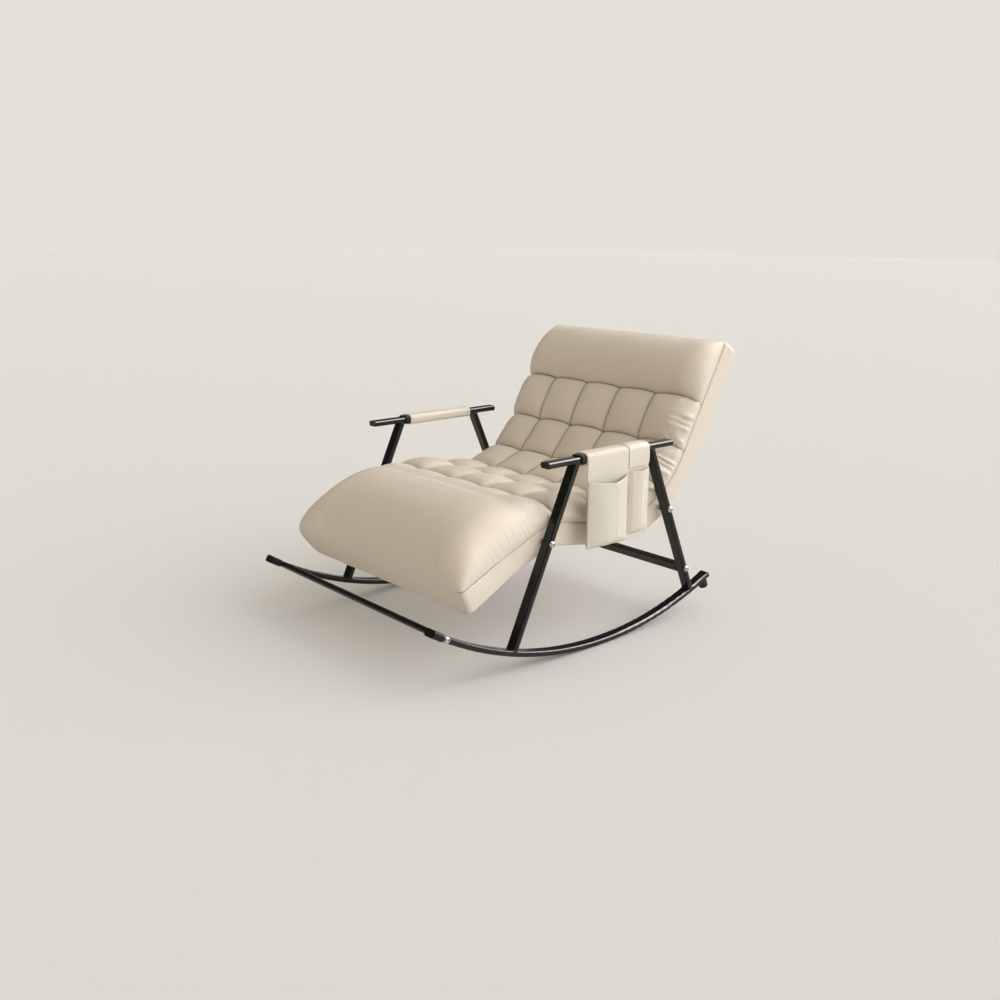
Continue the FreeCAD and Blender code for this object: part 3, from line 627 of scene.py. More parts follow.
@dataclass
class SeatLine:
    """The seat's underside from the side: three straight runs and two bends, walked from the front."""

    knee: Point2 = (-0.155, 0.281)
    leg_rest_length: float = 0.287
    leg_rest_angle: float = 22.0
    seat_length: float = 0.422
    seat_angle: float = -10.2
    back_length: float = 0.570
    back_angle: float = 61.0
    knee_radius: float = 0.120
    bend_radius: float = 0.323
    front_sag: float = 0.008
    front_flare: float = 0.006
    front_reach: float = 0.17
    sag_height: float = BASE_HEIGHT
    half_width: float = SEAT_WIDTH / 2
    corner_push: tuple[float, float] = (0.003, 0.017)
    push_height: float = 0.078
    push_reach: tuple[float, float] = (0.075, 0.085)

    def __post_init__(self) -> None:
        """Work out the runs and bends."""
        angles = [math.radians(a) for a in (self.leg_rest_angle, self.seat_angle, self.back_angle)]
        runs = [self.leg_rest_length, self.seat_length, self.back_length]
        turns = [angles[1] - angles[0], angles[2] - angles[1]]
        radii = [self.knee_radius, self.bend_radius]
        setbacks = [radius * math.tan(abs(turn) / 2) for radius, turn in zip(radii, turns)]
        runs[0] -= setbacks[0]
        runs[1] -= setbacks[0] + setbacks[1]
        runs[2] -= setbacks[1]
        back = self.leg_rest_length
        place = (self.knee[0] - back * math.cos(angles[0]), self.knee[1] - back * math.sin(angles[0]))
        self.spans = []
        self.length = 0.0
        for index, angle in enumerate(angles):
            place = self.add_span(place, angle, runs[index], 0.0)
            if index < len(turns):
                bend = math.copysign(1 / radii[index], turns[index])
                place = self.add_span(place, angle, radii[index] * abs(turns[index]), bend)

    def add_span(self, place: Point2, angle: float, length: float, bend: float) -> Point2:
        """Add a run of one bend.

        Args:
            place: where it starts.
            angle: its heading there.
            length: its length.
            bend: 1 / radius, positive to the left, or 0 for a straight run.

        Returns:
            Where it ends.
        """
        self.spans.append((self.length, place, angle, bend))
        self.length += length
        y, z = self.plain_at(np.array([self.length]), np.zeros(1))
        return float(y[0]), float(z[0])

    def near_front(self, s: np.ndarray) -> np.ndarray:
        """Give nearness to the front edge, from 1 there to 0 at the reach of its stuffing."""
        return 1 - ease(s / self.front_reach)

    def at(self, s: np.ndarray, depth: np.ndarray) -> tuple[np.ndarray, np.ndarray]:
        """Find y and z at lengths and heights of the side view, with the front edge's sag."""
        low = np.clip(1 - depth / self.sag_height, 0, 1)
        return self.plain_at(s, depth - self.front_sag * self.near_front(s) * low)

    def stuffed(self, x: np.ndarray, s: np.ndarray, depth: np.ndarray) -> tuple[np.ndarray, np.ndarray]:
        """Push the two front corners out, where the stuffing is fullest.

        Args:
            x: places across the seat.
            s: lengths from the front along the underside.
            depth: heights above the underside.

        Returns:
            The places and lengths after the push.
        """
        hump = np.sin(np.pi * np.clip(depth / (2 * self.push_height), 0, 1))
        inward = (self.half_width - abs(x)) / self.push_reach[0]
        near = np.exp(-((np.maximum(s, 0) / self.push_reach[1]) ** 2) - inward**2)
        push = np.where(x > 0, *self.corner_push) * hump * near
        return x + np.sign(x) * push, s - push

    def plain_at(self, s: np.ndarray, depth: np.ndarray) -> tuple[np.ndarray, np.ndarray]:
        """Find points of the side view without the stuffing's sag.

        Args:
            s: lengths from the front along the underside.
            depth: heights above the underside.

        Returns:
            Their y and z.
        """
        s, depth = np.broadcast_arrays(s, depth)
        y = np.zeros(s.shape)
        z = np.zeros(s.shape)
        for index, (start, place, angle, bend) in enumerate(self.spans):
            here = s >= start if index else np.ones(s.shape, bool)
            run = s[here] - start
            heading = angle + bend * run
            if bend == 0.0:
                y0 = place[0] + run * math.cos(angle)
                z0 = place[1] + run * math.sin(angle)
            else:
                y0 = place[0] + (np.sin(heading) - math.sin(angle)) / bend
                z0 = place[1] - (np.cos(heading) - math.cos(angle)) / bend
            y[here] = y0 - depth[here] * np.sin(heading)
            z[here] = z0 + depth[here] * np.cos(heading)
        return y, z

    def inset(self, s: np.ndarray, corner: float) -> np.ndarray:
        """Give how much narrower the cover is at its rounded ends, less the wider front."""
        close = np.clip(1 - np.minimum(s, self.length - s) / corner, 0, 1)
        return corner * (1 - np.sqrt(1 - close**2)) - self.front_flare * self.near_front(s)

    def back_from(self, s: float, length: float, depth: float) -> float:
        """Find the place a measured length before another, at a height above the underside.

        Args:
            s: where to start, from the front.
            length: the length to go back.
            depth: the height at which it is measured.

        Returns:
            The place's length from the front.
        """
        for start, _, _, bend in reversed(self.spans):
            if s <= start:
                continue
            stretch = 1 - bend * depth
            room = (s - start) * stretch
            if room >= length:
                return s - length / stretch
            length -= room
            s = start
        return s


@dataclass
class ClothPress:
    """Swells sewn covers with Blender's cloth, their seams held where they are."""

    quality: int = 4
    weight_digits: int = 2
    pressure: float = 60.0
    mass: float = 0.002
    frames: int = 12
    reach: float = 0.024
    looseness: float = 0.10
    stiffness: float = 4.0
    bending: float = 0.05

    def swell(
        self, points: np.ndarray, faces: Faces, held: np.ndarray, slack: np.ndarray, give: np.ndarray
    ) -> np.ndarray:
        """Run the simulation.

        Args:
            points: the covers before they are filled.
            faces: their faces.
            held: 1 where a seam holds the cloth, 0 where it is free.
            slack: share of the looseness that the cloth has.
            give: share of the reach that the cloth may move.

        Returns:
            The points after filling.
        """
        piece = make_object("press", points, faces)
        for name, weights in (("held", held), ("slack", slack)):
            group = piece.vertex_groups.new(name=name)
            levels = np.round(weights, self.weight_digits)
            for level in np.unique(levels[levels > 0]):
                group.add(np.flatnonzero(levels == level).tolist(), float(level), "REPLACE")
        modifier = piece.modifiers.new("cloth", "CLOTH")
        settings = modifier.settings
        settings.quality = self.quality
        settings.mass = self.mass
        settings.tension_stiffness = self.stiffness
        settings.compression_stiffness = self.stiffness
        settings.shear_stiffness = self.stiffness / 2
        settings.bending_stiffness = self.bending
        settings.vertex_group_mass = "held"
        settings.pin_stiffness = 1.0
        settings.use_pressure = True
        settings.uniform_pressure_force = self.pressure
        settings.vertex_group_shrink = "slack"
        settings.shrink_min = 0.0
        settings.shrink_max = -self.looseness
        settings.effector_weights.gravity = 0.0
        modifier.collision_settings.use_collision = False
        scene = bpy.context.scene
        for number in range(1, self.frames + 1):
            scene.frame_set(number)
        graph = bpy.context.evaluated_depsgraph_get()
        mesh = piece.evaluated_get(graph).data
        filled = np.empty(len(points) * 3)
        mesh.vertices.foreach_get("co", filled)
        moved = filled.reshape(-1, 3) - points
        size = np.linalg.norm(moved, axis=1, keepdims=True)
        LOG.info("cloth moved by %.1f mm on average, %.1f mm at most", 1000 * size.mean(), 1000 * size.max())
        scene.frame_set(1)
        bpy.data.objects.remove(piece)
        share = self.reach * give[:, None] / np.maximum(size, SAME_PLACE)
        filled = points + moved * np.minimum(1.0, share)
        filled[:, 2] = np.maximum(filled[:, 2], np.minimum(points[:, 2], 0.0))
        return filled


@dataclass
class Cushion:
    """One cushion of the cover, drawn flat as (along, across, up) and then bent to the seat line."""

    name: str
    nodes: tuple[str, ...]
    start: float
    end: float
    length: float
    middle: np.ndarray
    edge: np.ndarray
    closing: Sequence[Point2]
    half_width: float
    rounding: float
    edge_power: float = 2.0
    edge_steps: int = 12
    line_pitch: float = 0.0054
    columns: int = 1
    dip: float = 0.0
    dip_power: float = 3.2
    arch: float = 0.006
    arch_columns: int = 5
    arch_reach: float = 0.06
    arch_power: float = 0.7
    gather: float = 0.0
    gather_wave: float = 0.023
    gather_reach: float = 0.028
    gather_start: float = 0.0025
    gather_end: float = 0.75
    gather_ease: Point2 = (0.12, 0.3)
    gather_far: float = 0.4
    gather_flat: float = 0.3
    gather_power: float = 0.8
    sway: float = 1.7
    sway_wave: float = 0.061
    lean: float = 0.5
    lean_growth: float = 14.0
    seam_grip: float = 0.013
    seam_touch: float = 0.0004
    seam_lift: float = 0.0005
    seam_shade: float = 0.004
    seam_stop: float = -0.001
    slack_reach: float = 0.05
    slack_least: float = 0.12
    puff: float = 0.018
    puff_fall: float = 2.0
    corner: float = 0.014
    # Draw dark cords in the creases and column seams. They paint the shade there as well as marking the seam.
    crease_shade_cords: bool = True
    uneven: float = 0.0012
    uneven_wave: float = 0.21
    seed: int = 1
    free_front: bool = False
    free_rear: bool = False
    fill: float = 0.8

    def __post_init__(self) -> None:
        """Lay out the lines across the cushion."""
        turn = np.linspace(0.0, math.pi / 2, self.edge_steps + 1)
        inset = self.rounding * (1 - np.cos(turn))
        pitch = 2 * self.half_width / self.columns
        stops = [-self.half_width + self.rounding]
        stops += [-self.half_width + pitch * column for column in range(1, self.columns)]
        stops.append(self.half_width - self.rounding)
        inner = []
        for first, last in zip(stops, stops[1:]):
            steps = max(2, round((last - first) / self.line_pitch))
            inner.append(np.linspace(first, last, steps, endpoint=False))
        across = np.concatenate([-self.half_width + inset[:-1], *inner, (self.half_width - inset)[::-1]])
        self.across = across
        self.inward = self.half_width - abs(across)
        outward = 1 - np.minimum(1, self.inward / self.rounding)
        self.swell = np.sqrt(np.clip(1 - outward**self.edge_power, 0, 1))
        self.seam_gap = np.full(across.shape, math.inf)
        if self.columns > 1:
            column = (across + self.half_width) / pitch
            nearest = np.clip(np.round(column), 1, self.columns - 1)
            self.seam_gap = abs(column - nearest) * pitch
        self.sewn = self.seam_gap < SAME_PLACE
        spread = np.clip(1 - 2 * self.seam_gap / pitch, 0, 1)
        self.relief = 1 - self.dip * spread**self.dip_power

    def flat(self) -> np.ndarray:
        """Place the points of the flat cushion, section by section across it.

        Returns:
            Points as (along, across, up).
        """
        swell = self.swell[:, None]
        rise = self.middle[None, :, 1] * self.relief[:, None]
        run = np.broadcast_to(self.middle[:, 0], rise.shape)
        rise = rise + self.uneven * ripple(run, self.across[:, None], self.uneven_wave, self.seed)
        section = self.edge[None] + swell[..., None] * (np.stack([run, rise], axis=2) - self.edge[None])
        fold = self.folds(section[..., 0])
        section[..., 1] += fold * (self.gather_flat + (1 - self.gather_flat) * swell)
        shape = (len(self.across), len(self.closing), 2)
        loop = np.concatenate([section, np.broadcast_to(np.array(self.closing)[None], shape)], axis=1)
        across = np.repeat(self.across[:, None], self.loop, axis=1)
        lift = np.clip(self.middle[:, 1] / self.middle[:, 1].max(), 0, 1) ** self.puff_fall
        spread = self.puff * np.sin(np.pi * swell) ** 2 * lift[None]
        across[:, : self.top] += np.sign(self.across[:, None]) * (fold * (1 - swell) + spread)
        return np.stack([loop[..., 0], across, loop[..., 1]], axis=2).reshape(-1, 3)

    def folds(self, run: np.ndarray) -> np.ndarray:
        """Give the gathers where the cloth is drawn into the side seams.

        Args:
            run: places along the cushion, one row for each line across it.

        Returns:
            Heights of the folds.
        """
        across = self.across[:, None]
        inset = self.inward[:, None]
        fade = np.exp(-inset / self.gather_reach) * (1 - np.exp(-inset / self.gather_start))
        fade = fade * np.where(across > 0, 1.0, self.gather_far)
        bend = self.sway * np.sin(2 * math.pi * run / self.sway_wave + self.seed)
        lean = self.lean * np.sign(across) + self.lean_growth * inset
        turn = 2 * math.pi * run / self.gather_wave + bend + lean
        ridge = 1 - 2 * abs(np.sin(0.5 * turn)) ** self.gather_power
        share = run / self.length
        rising, falling = self.gather_ease
        window = ease(share / rising) * ease((self.gather_end - share) / falling + 0.5)
        return self.gather * fade * ridge * window

    @property
    def top(self) -> int:
        """Points of one section that are on the outside."""
        return len(self.middle)

    @property
    def loop(self) -> int:
        """Points of one whole section."""
        return self.top + len(self.closing)

    def faces(self, start: int = 0) -> Faces:
        """List the closed cushion's faces, from the number of its first point."""
        faces = grid_faces(len(self.across), self.loop, start, ring=True)
        return faces + self.cap(start) + self.cap(start + (len(self.across) - 1) * self.loop)

    def cap(self, first: int) -> Faces:
        """List the faces that close one side, one for each step of the underside.

        Args:
            first: number of the side's first point.

        Returns:
            The faces from the rear to the front.
        """
        breaks = [self.top - 1]
        for place in self.closing[1:-1]:
            breaks.append(int(np.argmin(np.linalg.norm(self.edge - place, axis=1))))
        breaks.append(0)
        faces = []
        for number, (high, low) in enumerate(zip(breaks, breaks[1:])):
            outer = range(first + low, first + high + 1)
            faces.append((*outer, first + self.top + number, first + self.top + number + 1))
        return faces

    def held(self) -> np.ndarray:
        """Mark the points that seams hold.

        Returns:
            1 for each point that is held, 0 for one that is free.
        """
        marks = np.zeros((len(self.across), self.loop))
        marks[:, self.top:] = 1.0
        marks[:, 0] = 1.0
        marks[:, self.top - 1] = 1.0
        marks[[0, -1]] = 1.0
        marks[self.sewn] = 1.0
        return marks.ravel()

    def slack(self) -> np.ndarray:
        """Give the spare cloth: most at the side seams, some at the creases.

        Returns:
            The share of spare cloth at each point.
        """
        side = np.exp(-((self.inward / self.slack_reach) ** 2))
        marks = np.zeros((len(self.across), self.loop))
        marks[:, : self.top] = np.maximum(self.slack_least, side[:, None])
        return marks.ravel()

    def give(self) -> np.ndarray:
        """Give how freely the filling moves the cloth: little next to the side seams."""
        share = np.clip(self.inward / self.seam_grip, 0, 1)
        return np.repeat(share, self.loop)

    def sharpen(self, mesh: Mesh) -> None:
        """Keep the seams sharp when the cushion is rounded.

        Args:
            mesh: the cushion's mesh.
        """
        ends = np.empty(2 * len(mesh.edges), np.int32)
        mesh.edges.foreach_get("vertices", ends)
        line, step = np.divmod(ends.reshape(-1, 2), self.loop)
        along = line[:, 0] == line[:, 1]
        sewn = np.flatnonzero(self.sewn).tolist() + [0, len(self.across) - 1]
        across = step[:, 0] == step[:, 1]
        sharp = along & np.isin(line[:, 0], sewn)
        sharp |= across & np.isin(step[:, 0], [0, self.top - 1])
        crease = mesh.attributes.new("crease_edge", "FLOAT", "EDGE")
        crease.data.foreach_set("value", sharp.astype(np.float32))

    def seam_lines(self, flat: np.ndarray, line: SeatLine, base: float) -> list[np.ndarray]:
        """Find the lines where the cover is sewn: creases, column seams and side seams.

        Args:
            flat: the filled cushion's points.
            line: the seat's underside.
            base: height of the side seam above the underside.

        Returns:
            The points of each line in the chair's frame.
        """
        raised = flat + np.array([0.0, 0.0, self.seam_lift])
        bent = self.bent(raised, line, base).reshape(len(self.across), self.loop, 3)[:, : self.top]
        lines = []
        # Cords in the creases and column seams paint their shade.
        if self.crease_shade_cords:
            lines += [] if self.free_front else [bent[:, 0]]
            lines += list(bent[self.sewn])
        reach = self.length / 2 - self.seam_stop
        shown = (self.edge[:, 1] >= 0) & (abs(self.edge[:, 0] - self.length / 2) < reach)
        return lines + [bent[0][shown], bent[-1][shown]]

    def bow(self, along: np.ndarray, across: np.ndarray) -> np.ndarray:
        """Give how far the creases arch between the column seams.

        Args:
            along: places along the cushion.
            across: places across it.

        Returns:
            The shift along the seat line.
        """
        column = (across + self.half_width) * self.arch_columns / (2 * self.half_width)
        near = np.ones(along.shape)
        if self.free_front:
            near = ease((along - self.length) / self.arch_reach + 1)
        if self.free_rear:
            near = 1 - ease(along / self.arch_reach)
        return self.arch * near * abs(np.sin(np.pi * column)) ** self.arch_power

    def seam(self) -> np.ndarray:
        """Give nearness to a seam, from 0 to 1. The cover's material uses it to paint shade into the creases.

        Returns:
            The nearness at each point.
        """
        flat = self.flat().reshape(len(self.across), self.loop, 3)[:, : self.top]
        marks = np.zeros((len(self.across), self.loop))
        gaps = []
        for end, free in ((0, self.free_front), (self.top - 1, self.free_rear)):
            if not free:
                gaps.append(np.linalg.norm(flat - flat[:, end : end + 1], axis=2))
        gaps.append(np.broadcast_to(self.seam_gap[:, None], flat.shape[:2]))
        nearest = np.minimum.reduce(gaps)
        marks[:, : self.top] = np.exp(-nearest / self.seam_shade)
        return marks.ravel()

    def bent(self, flat: np.ndarray, line: SeatLine, base: float) -> np.ndarray:
        """Bend flat points to the seat line.

        Args:
            flat: points as (along, across, up).
            line: the seat's underside.
            base: height of the side seam above the underside.

        Returns:
            The points in the chair's frame.
        """
        along = flat[:, 0]
        if not self.free_front:
            along = np.maximum(along, self.seam_touch)
        if not self.free_rear:
            along = np.minimum(along, self.length - self.seam_touch)
        along = along + self.bow(along, flat[:, 1])
        s = self.start + (self.end - self.start) * along / self.length
        x = flat[:, 1] * (1 - line.inset(s, self.corner) / self.half_width)
        x, s = line.stuffed(x, s, base + flat[:, 2])
        y, z = line.at(s, base + flat[:, 2])
        return np.stack([x, y, z], axis=1)


@dataclass
class Upholstery:
    """The seat's cover: leg rest, five tufted rows, headrest and the plain base under them."""

    width: float = SEAT_WIDTH
    base_height: float = BASE_HEIGHT
    row_pitch: float = 0.135
    row_count: int = 5
    column_count: int = 5
    headrest_length: float = 0.190
    tuft_crown: float = 0.060
    crease_height: float = 0.041
    seat_crease_drop: float = 0.005
    headrest_crown: float = 0.069
    leg_rest_crown: float = 0.088
    row_rounding: float = 0.036
    headrest_rounding: float = 0.046
    leg_rest_rounding: float = 0.084
    row_power: float = 2.5
    row_samples: int = 400
    row_steps: int = 46
    leg_rest_steps: int = 140
    headrest_steps: int = 84
    seat_rows: int = 2
    seat_dip: float = 0.17
    back_dip: float = 0.12
    seat_gather: float = 0.0012
    back_gather: float = 0.0060
    end_wall: float = 0.0012
    corner: float = 0.014
    edge_lift: float = 0.0008
    base_gap: float = 0.0005
    base_stations: int = 190
    base_points: int = 25
    low_points: int = 6
    side_points: int = 10
    base_seam_gap: float = 0.0006
    side_band: float = 0.003
    low_radius: float = 0.007
    side_belly: float = 0.0016
    side_wave: float = 0.0011
    side_wave_length: float = 0.16
    under_wave: float = 0.0012
    under_wave_length: float = 0.22
    stitch_drop: float = 0.007
    stitch_stop: float = 0.006
    stitch_lift: float = 0.0002
    stitch_points: int = 300
    line: SeatLine = field(default_factory=SeatLine)
    press: ClothPress = field(default_factory=ClothPress)

    def creases(self) -> list[float]:
        """Find the sewn creases, leg rest crease first.

        Returns:
            Their lengths from the front.
        """
        found = [self.line.length - self.headrest_length]
        for _ in range(self.row_count):
            found.insert(0, self.line.back_from(found[0], self.row_pitch, self.base_height))
        return found

    def edge_of(self, middle: np.ndarray, length: float) -> np.ndarray:
        """Find where a section meets the side seam: up an end wall where it has one, then along the top.

        Args:
            middle: the section at the middle of the chair.
            length: the cushion's flat length.

        Returns:
            The section at the side.
        """
        places = walked(middle)
        on_top = middle[:, 1] >= 0
        first, last = np.flatnonzero(on_top)[[0, -1]]
        share = (places - places[first]) / (places[last] - places[first])
        edge = middle.copy()
        edge[:, 0] = length * np.clip(share, 0.0, 1.0)
        edge[:, 1] = np.where(on_top, self.edge_lift, middle[:, 1])
        return edge

    def row(self, index: int, name: str, creases: list[float]) -> Cushion:
        """Draw one tufted row.

        Args:
            index: the row's number from the front.
            name: name of the CAD node that it stands for.
            creases: the sewn creases.

        Returns:
            The flat cushion.
        """
        turn = np.linspace(math.pi, 0.0, self.row_samples)
        round_off = 2 / self.row_power
        on_seat = index < self.seat_rows
        low = self.crease_height - (self.seat_crease_drop if on_seat else 0.0)
        along = 0.5 * self.row_pitch * (1 + np.sign(np.cos(turn)) * abs(np.cos(turn)) ** round_off)
        up = low + (self.tuft_crown - low) * np.sin(turn) ** round_off
        middle = resample(np.stack([along, up], axis=1), self.row_steps)
        closing = [(share * self.row_pitch, 0.0) for share in (1.0, 0.66, 0.33, 0.0)]
        return Cushion(
            name.replace("_row", "") + "_tufts", (name,), creases[index], creases[index + 1],
            self.row_pitch, middle, self.edge_of(middle, self.row_pitch), closing, self.width / 2,
            self.row_rounding, columns=self.column_count,
            dip=self.seat_dip if on_seat else self.back_dip,
            gather=self.seat_gather if on_seat else self.back_gather,
            corner=self.corner, crease_shade_cords=not on_seat, seed=index + 2,
        )

    def leg_rest(self, creases: list[float]) -> Cushion:
        """Draw the leg rest, which wraps over its nose to the front bottom edge.

        Args:
            creases: the sewn creases.

        Returns:
            The flat cushion.
        """
        length = creases[0]
        crown = self.leg_rest_crown
        middle = smooth_line(
            [
                (0.0, -self.base_height), (-0.007, -0.040), (-0.0085, -0.010), (-0.003, 0.026),
                (0.012, 0.051), (0.040, 0.81 * crown), (0.085, 0.935 * crown), (0.130, 0.98 * crown),
                (0.180, 0.92 * crown), (0.222, 0.77 * crown), (length - 0.036, 0.62 * crown),
                (length - 0.010, 0.52 * crown), (length, self.crease_height),
            ],
            self.leg_rest_steps,
        )
        wall = self.end_wall
        closing = [(length, 0.0), (length / 2, 0.0), (wall, 0.0), (wall, -self.base_height)]
        return Cushion(
            "leg_rest_cushion", ("leg_rest_roll", "front_border"), 0.0, length, length, middle,
            self.edge_of(middle, length), closing, self.width / 2, self.leg_rest_rounding,
            edge_power=2.4, gather=0.0016, gather_wave=0.016, gather_reach=0.004, gather_start=0.0005,
            gather_end=1.0, puff=0.022, puff_fall=0.6, corner=self.corner, seed=9, free_front=True,
            fill=0.85,
        )

    def headrest(self, creases: list[float]) -> Cushion:
        """Draw the headrest, which wraps over the top to the rear bottom edge.

        Args:
            creases: the sewn creases.

        Returns:
            The flat cushion.
        """
        length = self.headrest_length
        crown = self.headrest_crown
        middle = smooth_line(
            [
                (0.0, self.crease_height), (0.009, 0.78 * crown), (0.028, 0.93 * crown), (0.060, crown),
                (0.105, 0.92 * crown), (0.150, 0.66 * crown), (0.176, 0.34 * crown), (0.1885, -0.002),
                (0.1925, -0.030), (length, -self.base_height),
            ],
            self.headrest_steps,
        )
        wall = length - self.end_wall
        closing = [(wall, -self.base_height), (wall, 0.0), (length / 2, 0.0), (0.0, 0.0)]
        return Cushion(
            "headrest_cushion", ("headrest_roll", "top_border"), creases[-1], self.line.length, length,
            middle, self.edge_of(middle, length), closing, self.width / 2, self.headrest_rounding,
            corner=self.corner, uneven=0.0020, seed=12, seam_stop=0.005, free_rear=True, fill=0.85,
        )

    def cushions(self) -> list[Cushion]:
        """Draw all cushions from the front to the top.

        Returns:
            The flat cushions.
        """
        creases = self.creases()
        names = ("seat_row_front", "seat_row_rear", "lumbar_row", "back_row_lower", "back_row_upper")
        rows = [self.row(index, name, creases) for index, name in enumerate(names)]
        return [self.leg_rest(creases), *rows, self.headrest(creases)]

    def fill(self, cushions: list[Cushion]) -> list[np.ndarray]:
        """Fill the flat cushions, all in one simulation.

        Args:
            cushions: the flat cushions.

        Returns:
            Each cushion's flat points after filling.
        """
        flats = [cushion.flat() for cushion in cushions]
        apart = [np.array([cushion.start, 0.0, 0.0]) for cushion in cushions]
        starts = np.cumsum([0] + [len(flat) for flat in flats])
        faces = []
        for cushion, start in zip(cushions, starts):
            faces += cushion.faces(int(start))
        points = np.vstack([flat + shift for flat, shift in zip(flats, apart)])
        held = np.concatenate([cushion.held() for cushion in cushions])
        slack = np.concatenate([cushion.slack() for cushion in cushions])
        give = np.concatenate([cushion.give() for cushion in cushions])
        filled = self.press.swell(points, faces, held, slack, give)
        return [filled[a:b] - shift for a, b, shift in zip(starts, starts[1:], apart)]

    def side_stand(self, depth: np.ndarray) -> np.ndarray:
        """Give how far the base's side stands out at a height above the underside."""
        round_low = np.clip(1 - depth / self.low_radius, 0, 1)
        return self.side_belly * self.bulge(depth) - self.low_radius * (1 - np.sqrt(1 - round_low**2))

    def bulge(self, depth: np.ndarray) -> np.ndarray:
        """Give the share of a bulge at a height above the underside, 1 halfway up the base's side."""
        return np.sin(np.pi * np.clip(depth / self.base_height, 0, 1))

    def place(self, x: np.ndarray, s: np.ndarray, depth: np.ndarray) -> np.ndarray:
        """Put points of the base where they are on the chair.

        Args:
            x: places across the seat.
            s: lengths from the front along the underside.
            depth: heights above the underside.

        Returns:
            The points in the chair's frame.
        """
        x, s = self.line.stuffed(x, s, depth)
        y, z = self.line.at(s, depth)
        return np.stack([x, y, z], axis=1)

    def make_base(self) -> Object:
        """Make the plain base: side strips, flat underside and a hidden top.

        Returns:
            The new piece.
        """
        half = self.width / 2
        low = np.linspace(0, self.low_radius, self.low_points)
        high = np.linspace(self.low_radius, self.base_height - self.base_seam_gap, self.side_points + 1)[1:]
        heights = np.concatenate([low, high])
        side = np.stack([half + self.side_stand(heights), heights], axis=1)
        inner = np.linspace(-1, 1, self.base_points + 2)[1:-1] * side[0, 0]
        under = np.stack([inner, np.zeros(inner.shape)], axis=1)
        over = np.stack([-inner, np.full(inner.shape, heights[-1])], axis=1)
        loop = np.concatenate([under, side, over, (side * [-1, 1])[::-1]])
        stop = self.end_wall + self.base_gap
        stations = np.linspace(stop, self.line.length - stop, self.base_stations)
        s = np.repeat(stations, len(loop))
        x = np.tile(loop[:, 0], len(stations))
        d = np.tile(loop[:, 1], len(stations))
        on_side = abs(x) > half - self.side_band
        wave = self.side_wave * ripple(s, d + np.sign(x), self.side_wave_length, 5) * self.bulge(d)
        x = x + np.where(on_side, np.sign(x) * wave, 0.0)
        x = x * (1 - self.line.inset(s, self.corner) / half)
        wave = self.under_wave * ripple(s, x, self.under_wave_length, 8)
        d = d + np.where(d < SAME_PLACE, wave, 0.0)
        size = len(loop)
        faces = grid_faces(len(stations), size, ring=True)
        for first in (0, (len(stations) - 1) * size):
            faces += self.base_cap(first, len(inner), len(side))
        base = make_object("seat_base", self.place(x, s, d), faces)
        turn_outward(base)
        return base

    def base_cap(self, first: int, flat_points: int, side_points: int) -> Faces:
        """List the faces that close one end of the base.

        Args:
            first: number of the end's first point.
            flat_points: points along the underside, and along the hidden top.
            side_points: points up each side.

        Returns:
            A strip of faces from side to side.
        """
        top = first + flat_points + side_points
        low_end = first + flat_points - 1
        left = tuple(range(low_end, top + 1))
        right = (*range(top + flat_points - 1, top + flat_points + side_points), first)
        strip = []
        for step in range(flat_points - 1):
            under = first + step
            over = top + flat_points - 1 - step
            strip.append((under, under + 1, over - 1, over))
        return [left, right, *strip]

    def seam_line(self, side: Side) -> np.ndarray:
        """Find the line of stitches along a side, a little below the side seam.

        Args:
            side: which side.

        Returns:
            Points of the line.
        """
        s = np.linspace(self.stitch_stop, self.line.length - self.stitch_stop, self.stitch_points)
        depth = np.full(s.shape, self.base_height - self.stitch_drop)
        half = self.width / 2
        narrow = 1 - self.line.inset(s, self.corner) / half
        x = side.value * ((half + self.side_stand(depth)) * narrow + self.stitch_lift)
        return self.place(x, s, depth)

    def build(self, cover: Material, thread: Material) -> None:
        """Make every piece of the cover.

        Args:
            cover: the cover's finish.
            thread: the finish of its seam cords, whose dark colour paints the shade in the creases.
        """
        cushions = self.cushions()
        seams = []
        for cushion, flat in zip(cushions, self.fill(cushions)):
            points = cushion.bent(flat, self.line, self.base_height)
            piece = make_object(cushion.name, points, cushion.faces())
            turn_outward(piece)
            cushion.sharpen(piece.data)
            seams += cushion.seam_lines(flat, self.line, self.base_height)
            # Nearness to the creases, which the cover's material turns into painted shade.
            seam = piece.data.attributes.new("seam", "FLOAT", "POINT")
            seam.data.foreach_set("value", cushion.seam().astype(np.float32))
            add_subdivision(piece)
            dress(piece, cover, Body.CHAIR)
            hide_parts(*cushion.nodes)
        base = self.make_base()
        dress(base, cover, Body.CHAIR)
        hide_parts("side_border_left", "side_border_right", "under_cover",
                    "leg_rest_foam", "seat_foam", "back_foam")
        # Dark cords along all seams of the cover: the sewn line plus painted shade in the creases.
        cords = run_along("cover_seam_shade_cords", seams, CORD_TREE, {"Material": thread})
        dress(cords, thread, Body.CHAIR)


# Things that repeat along a path


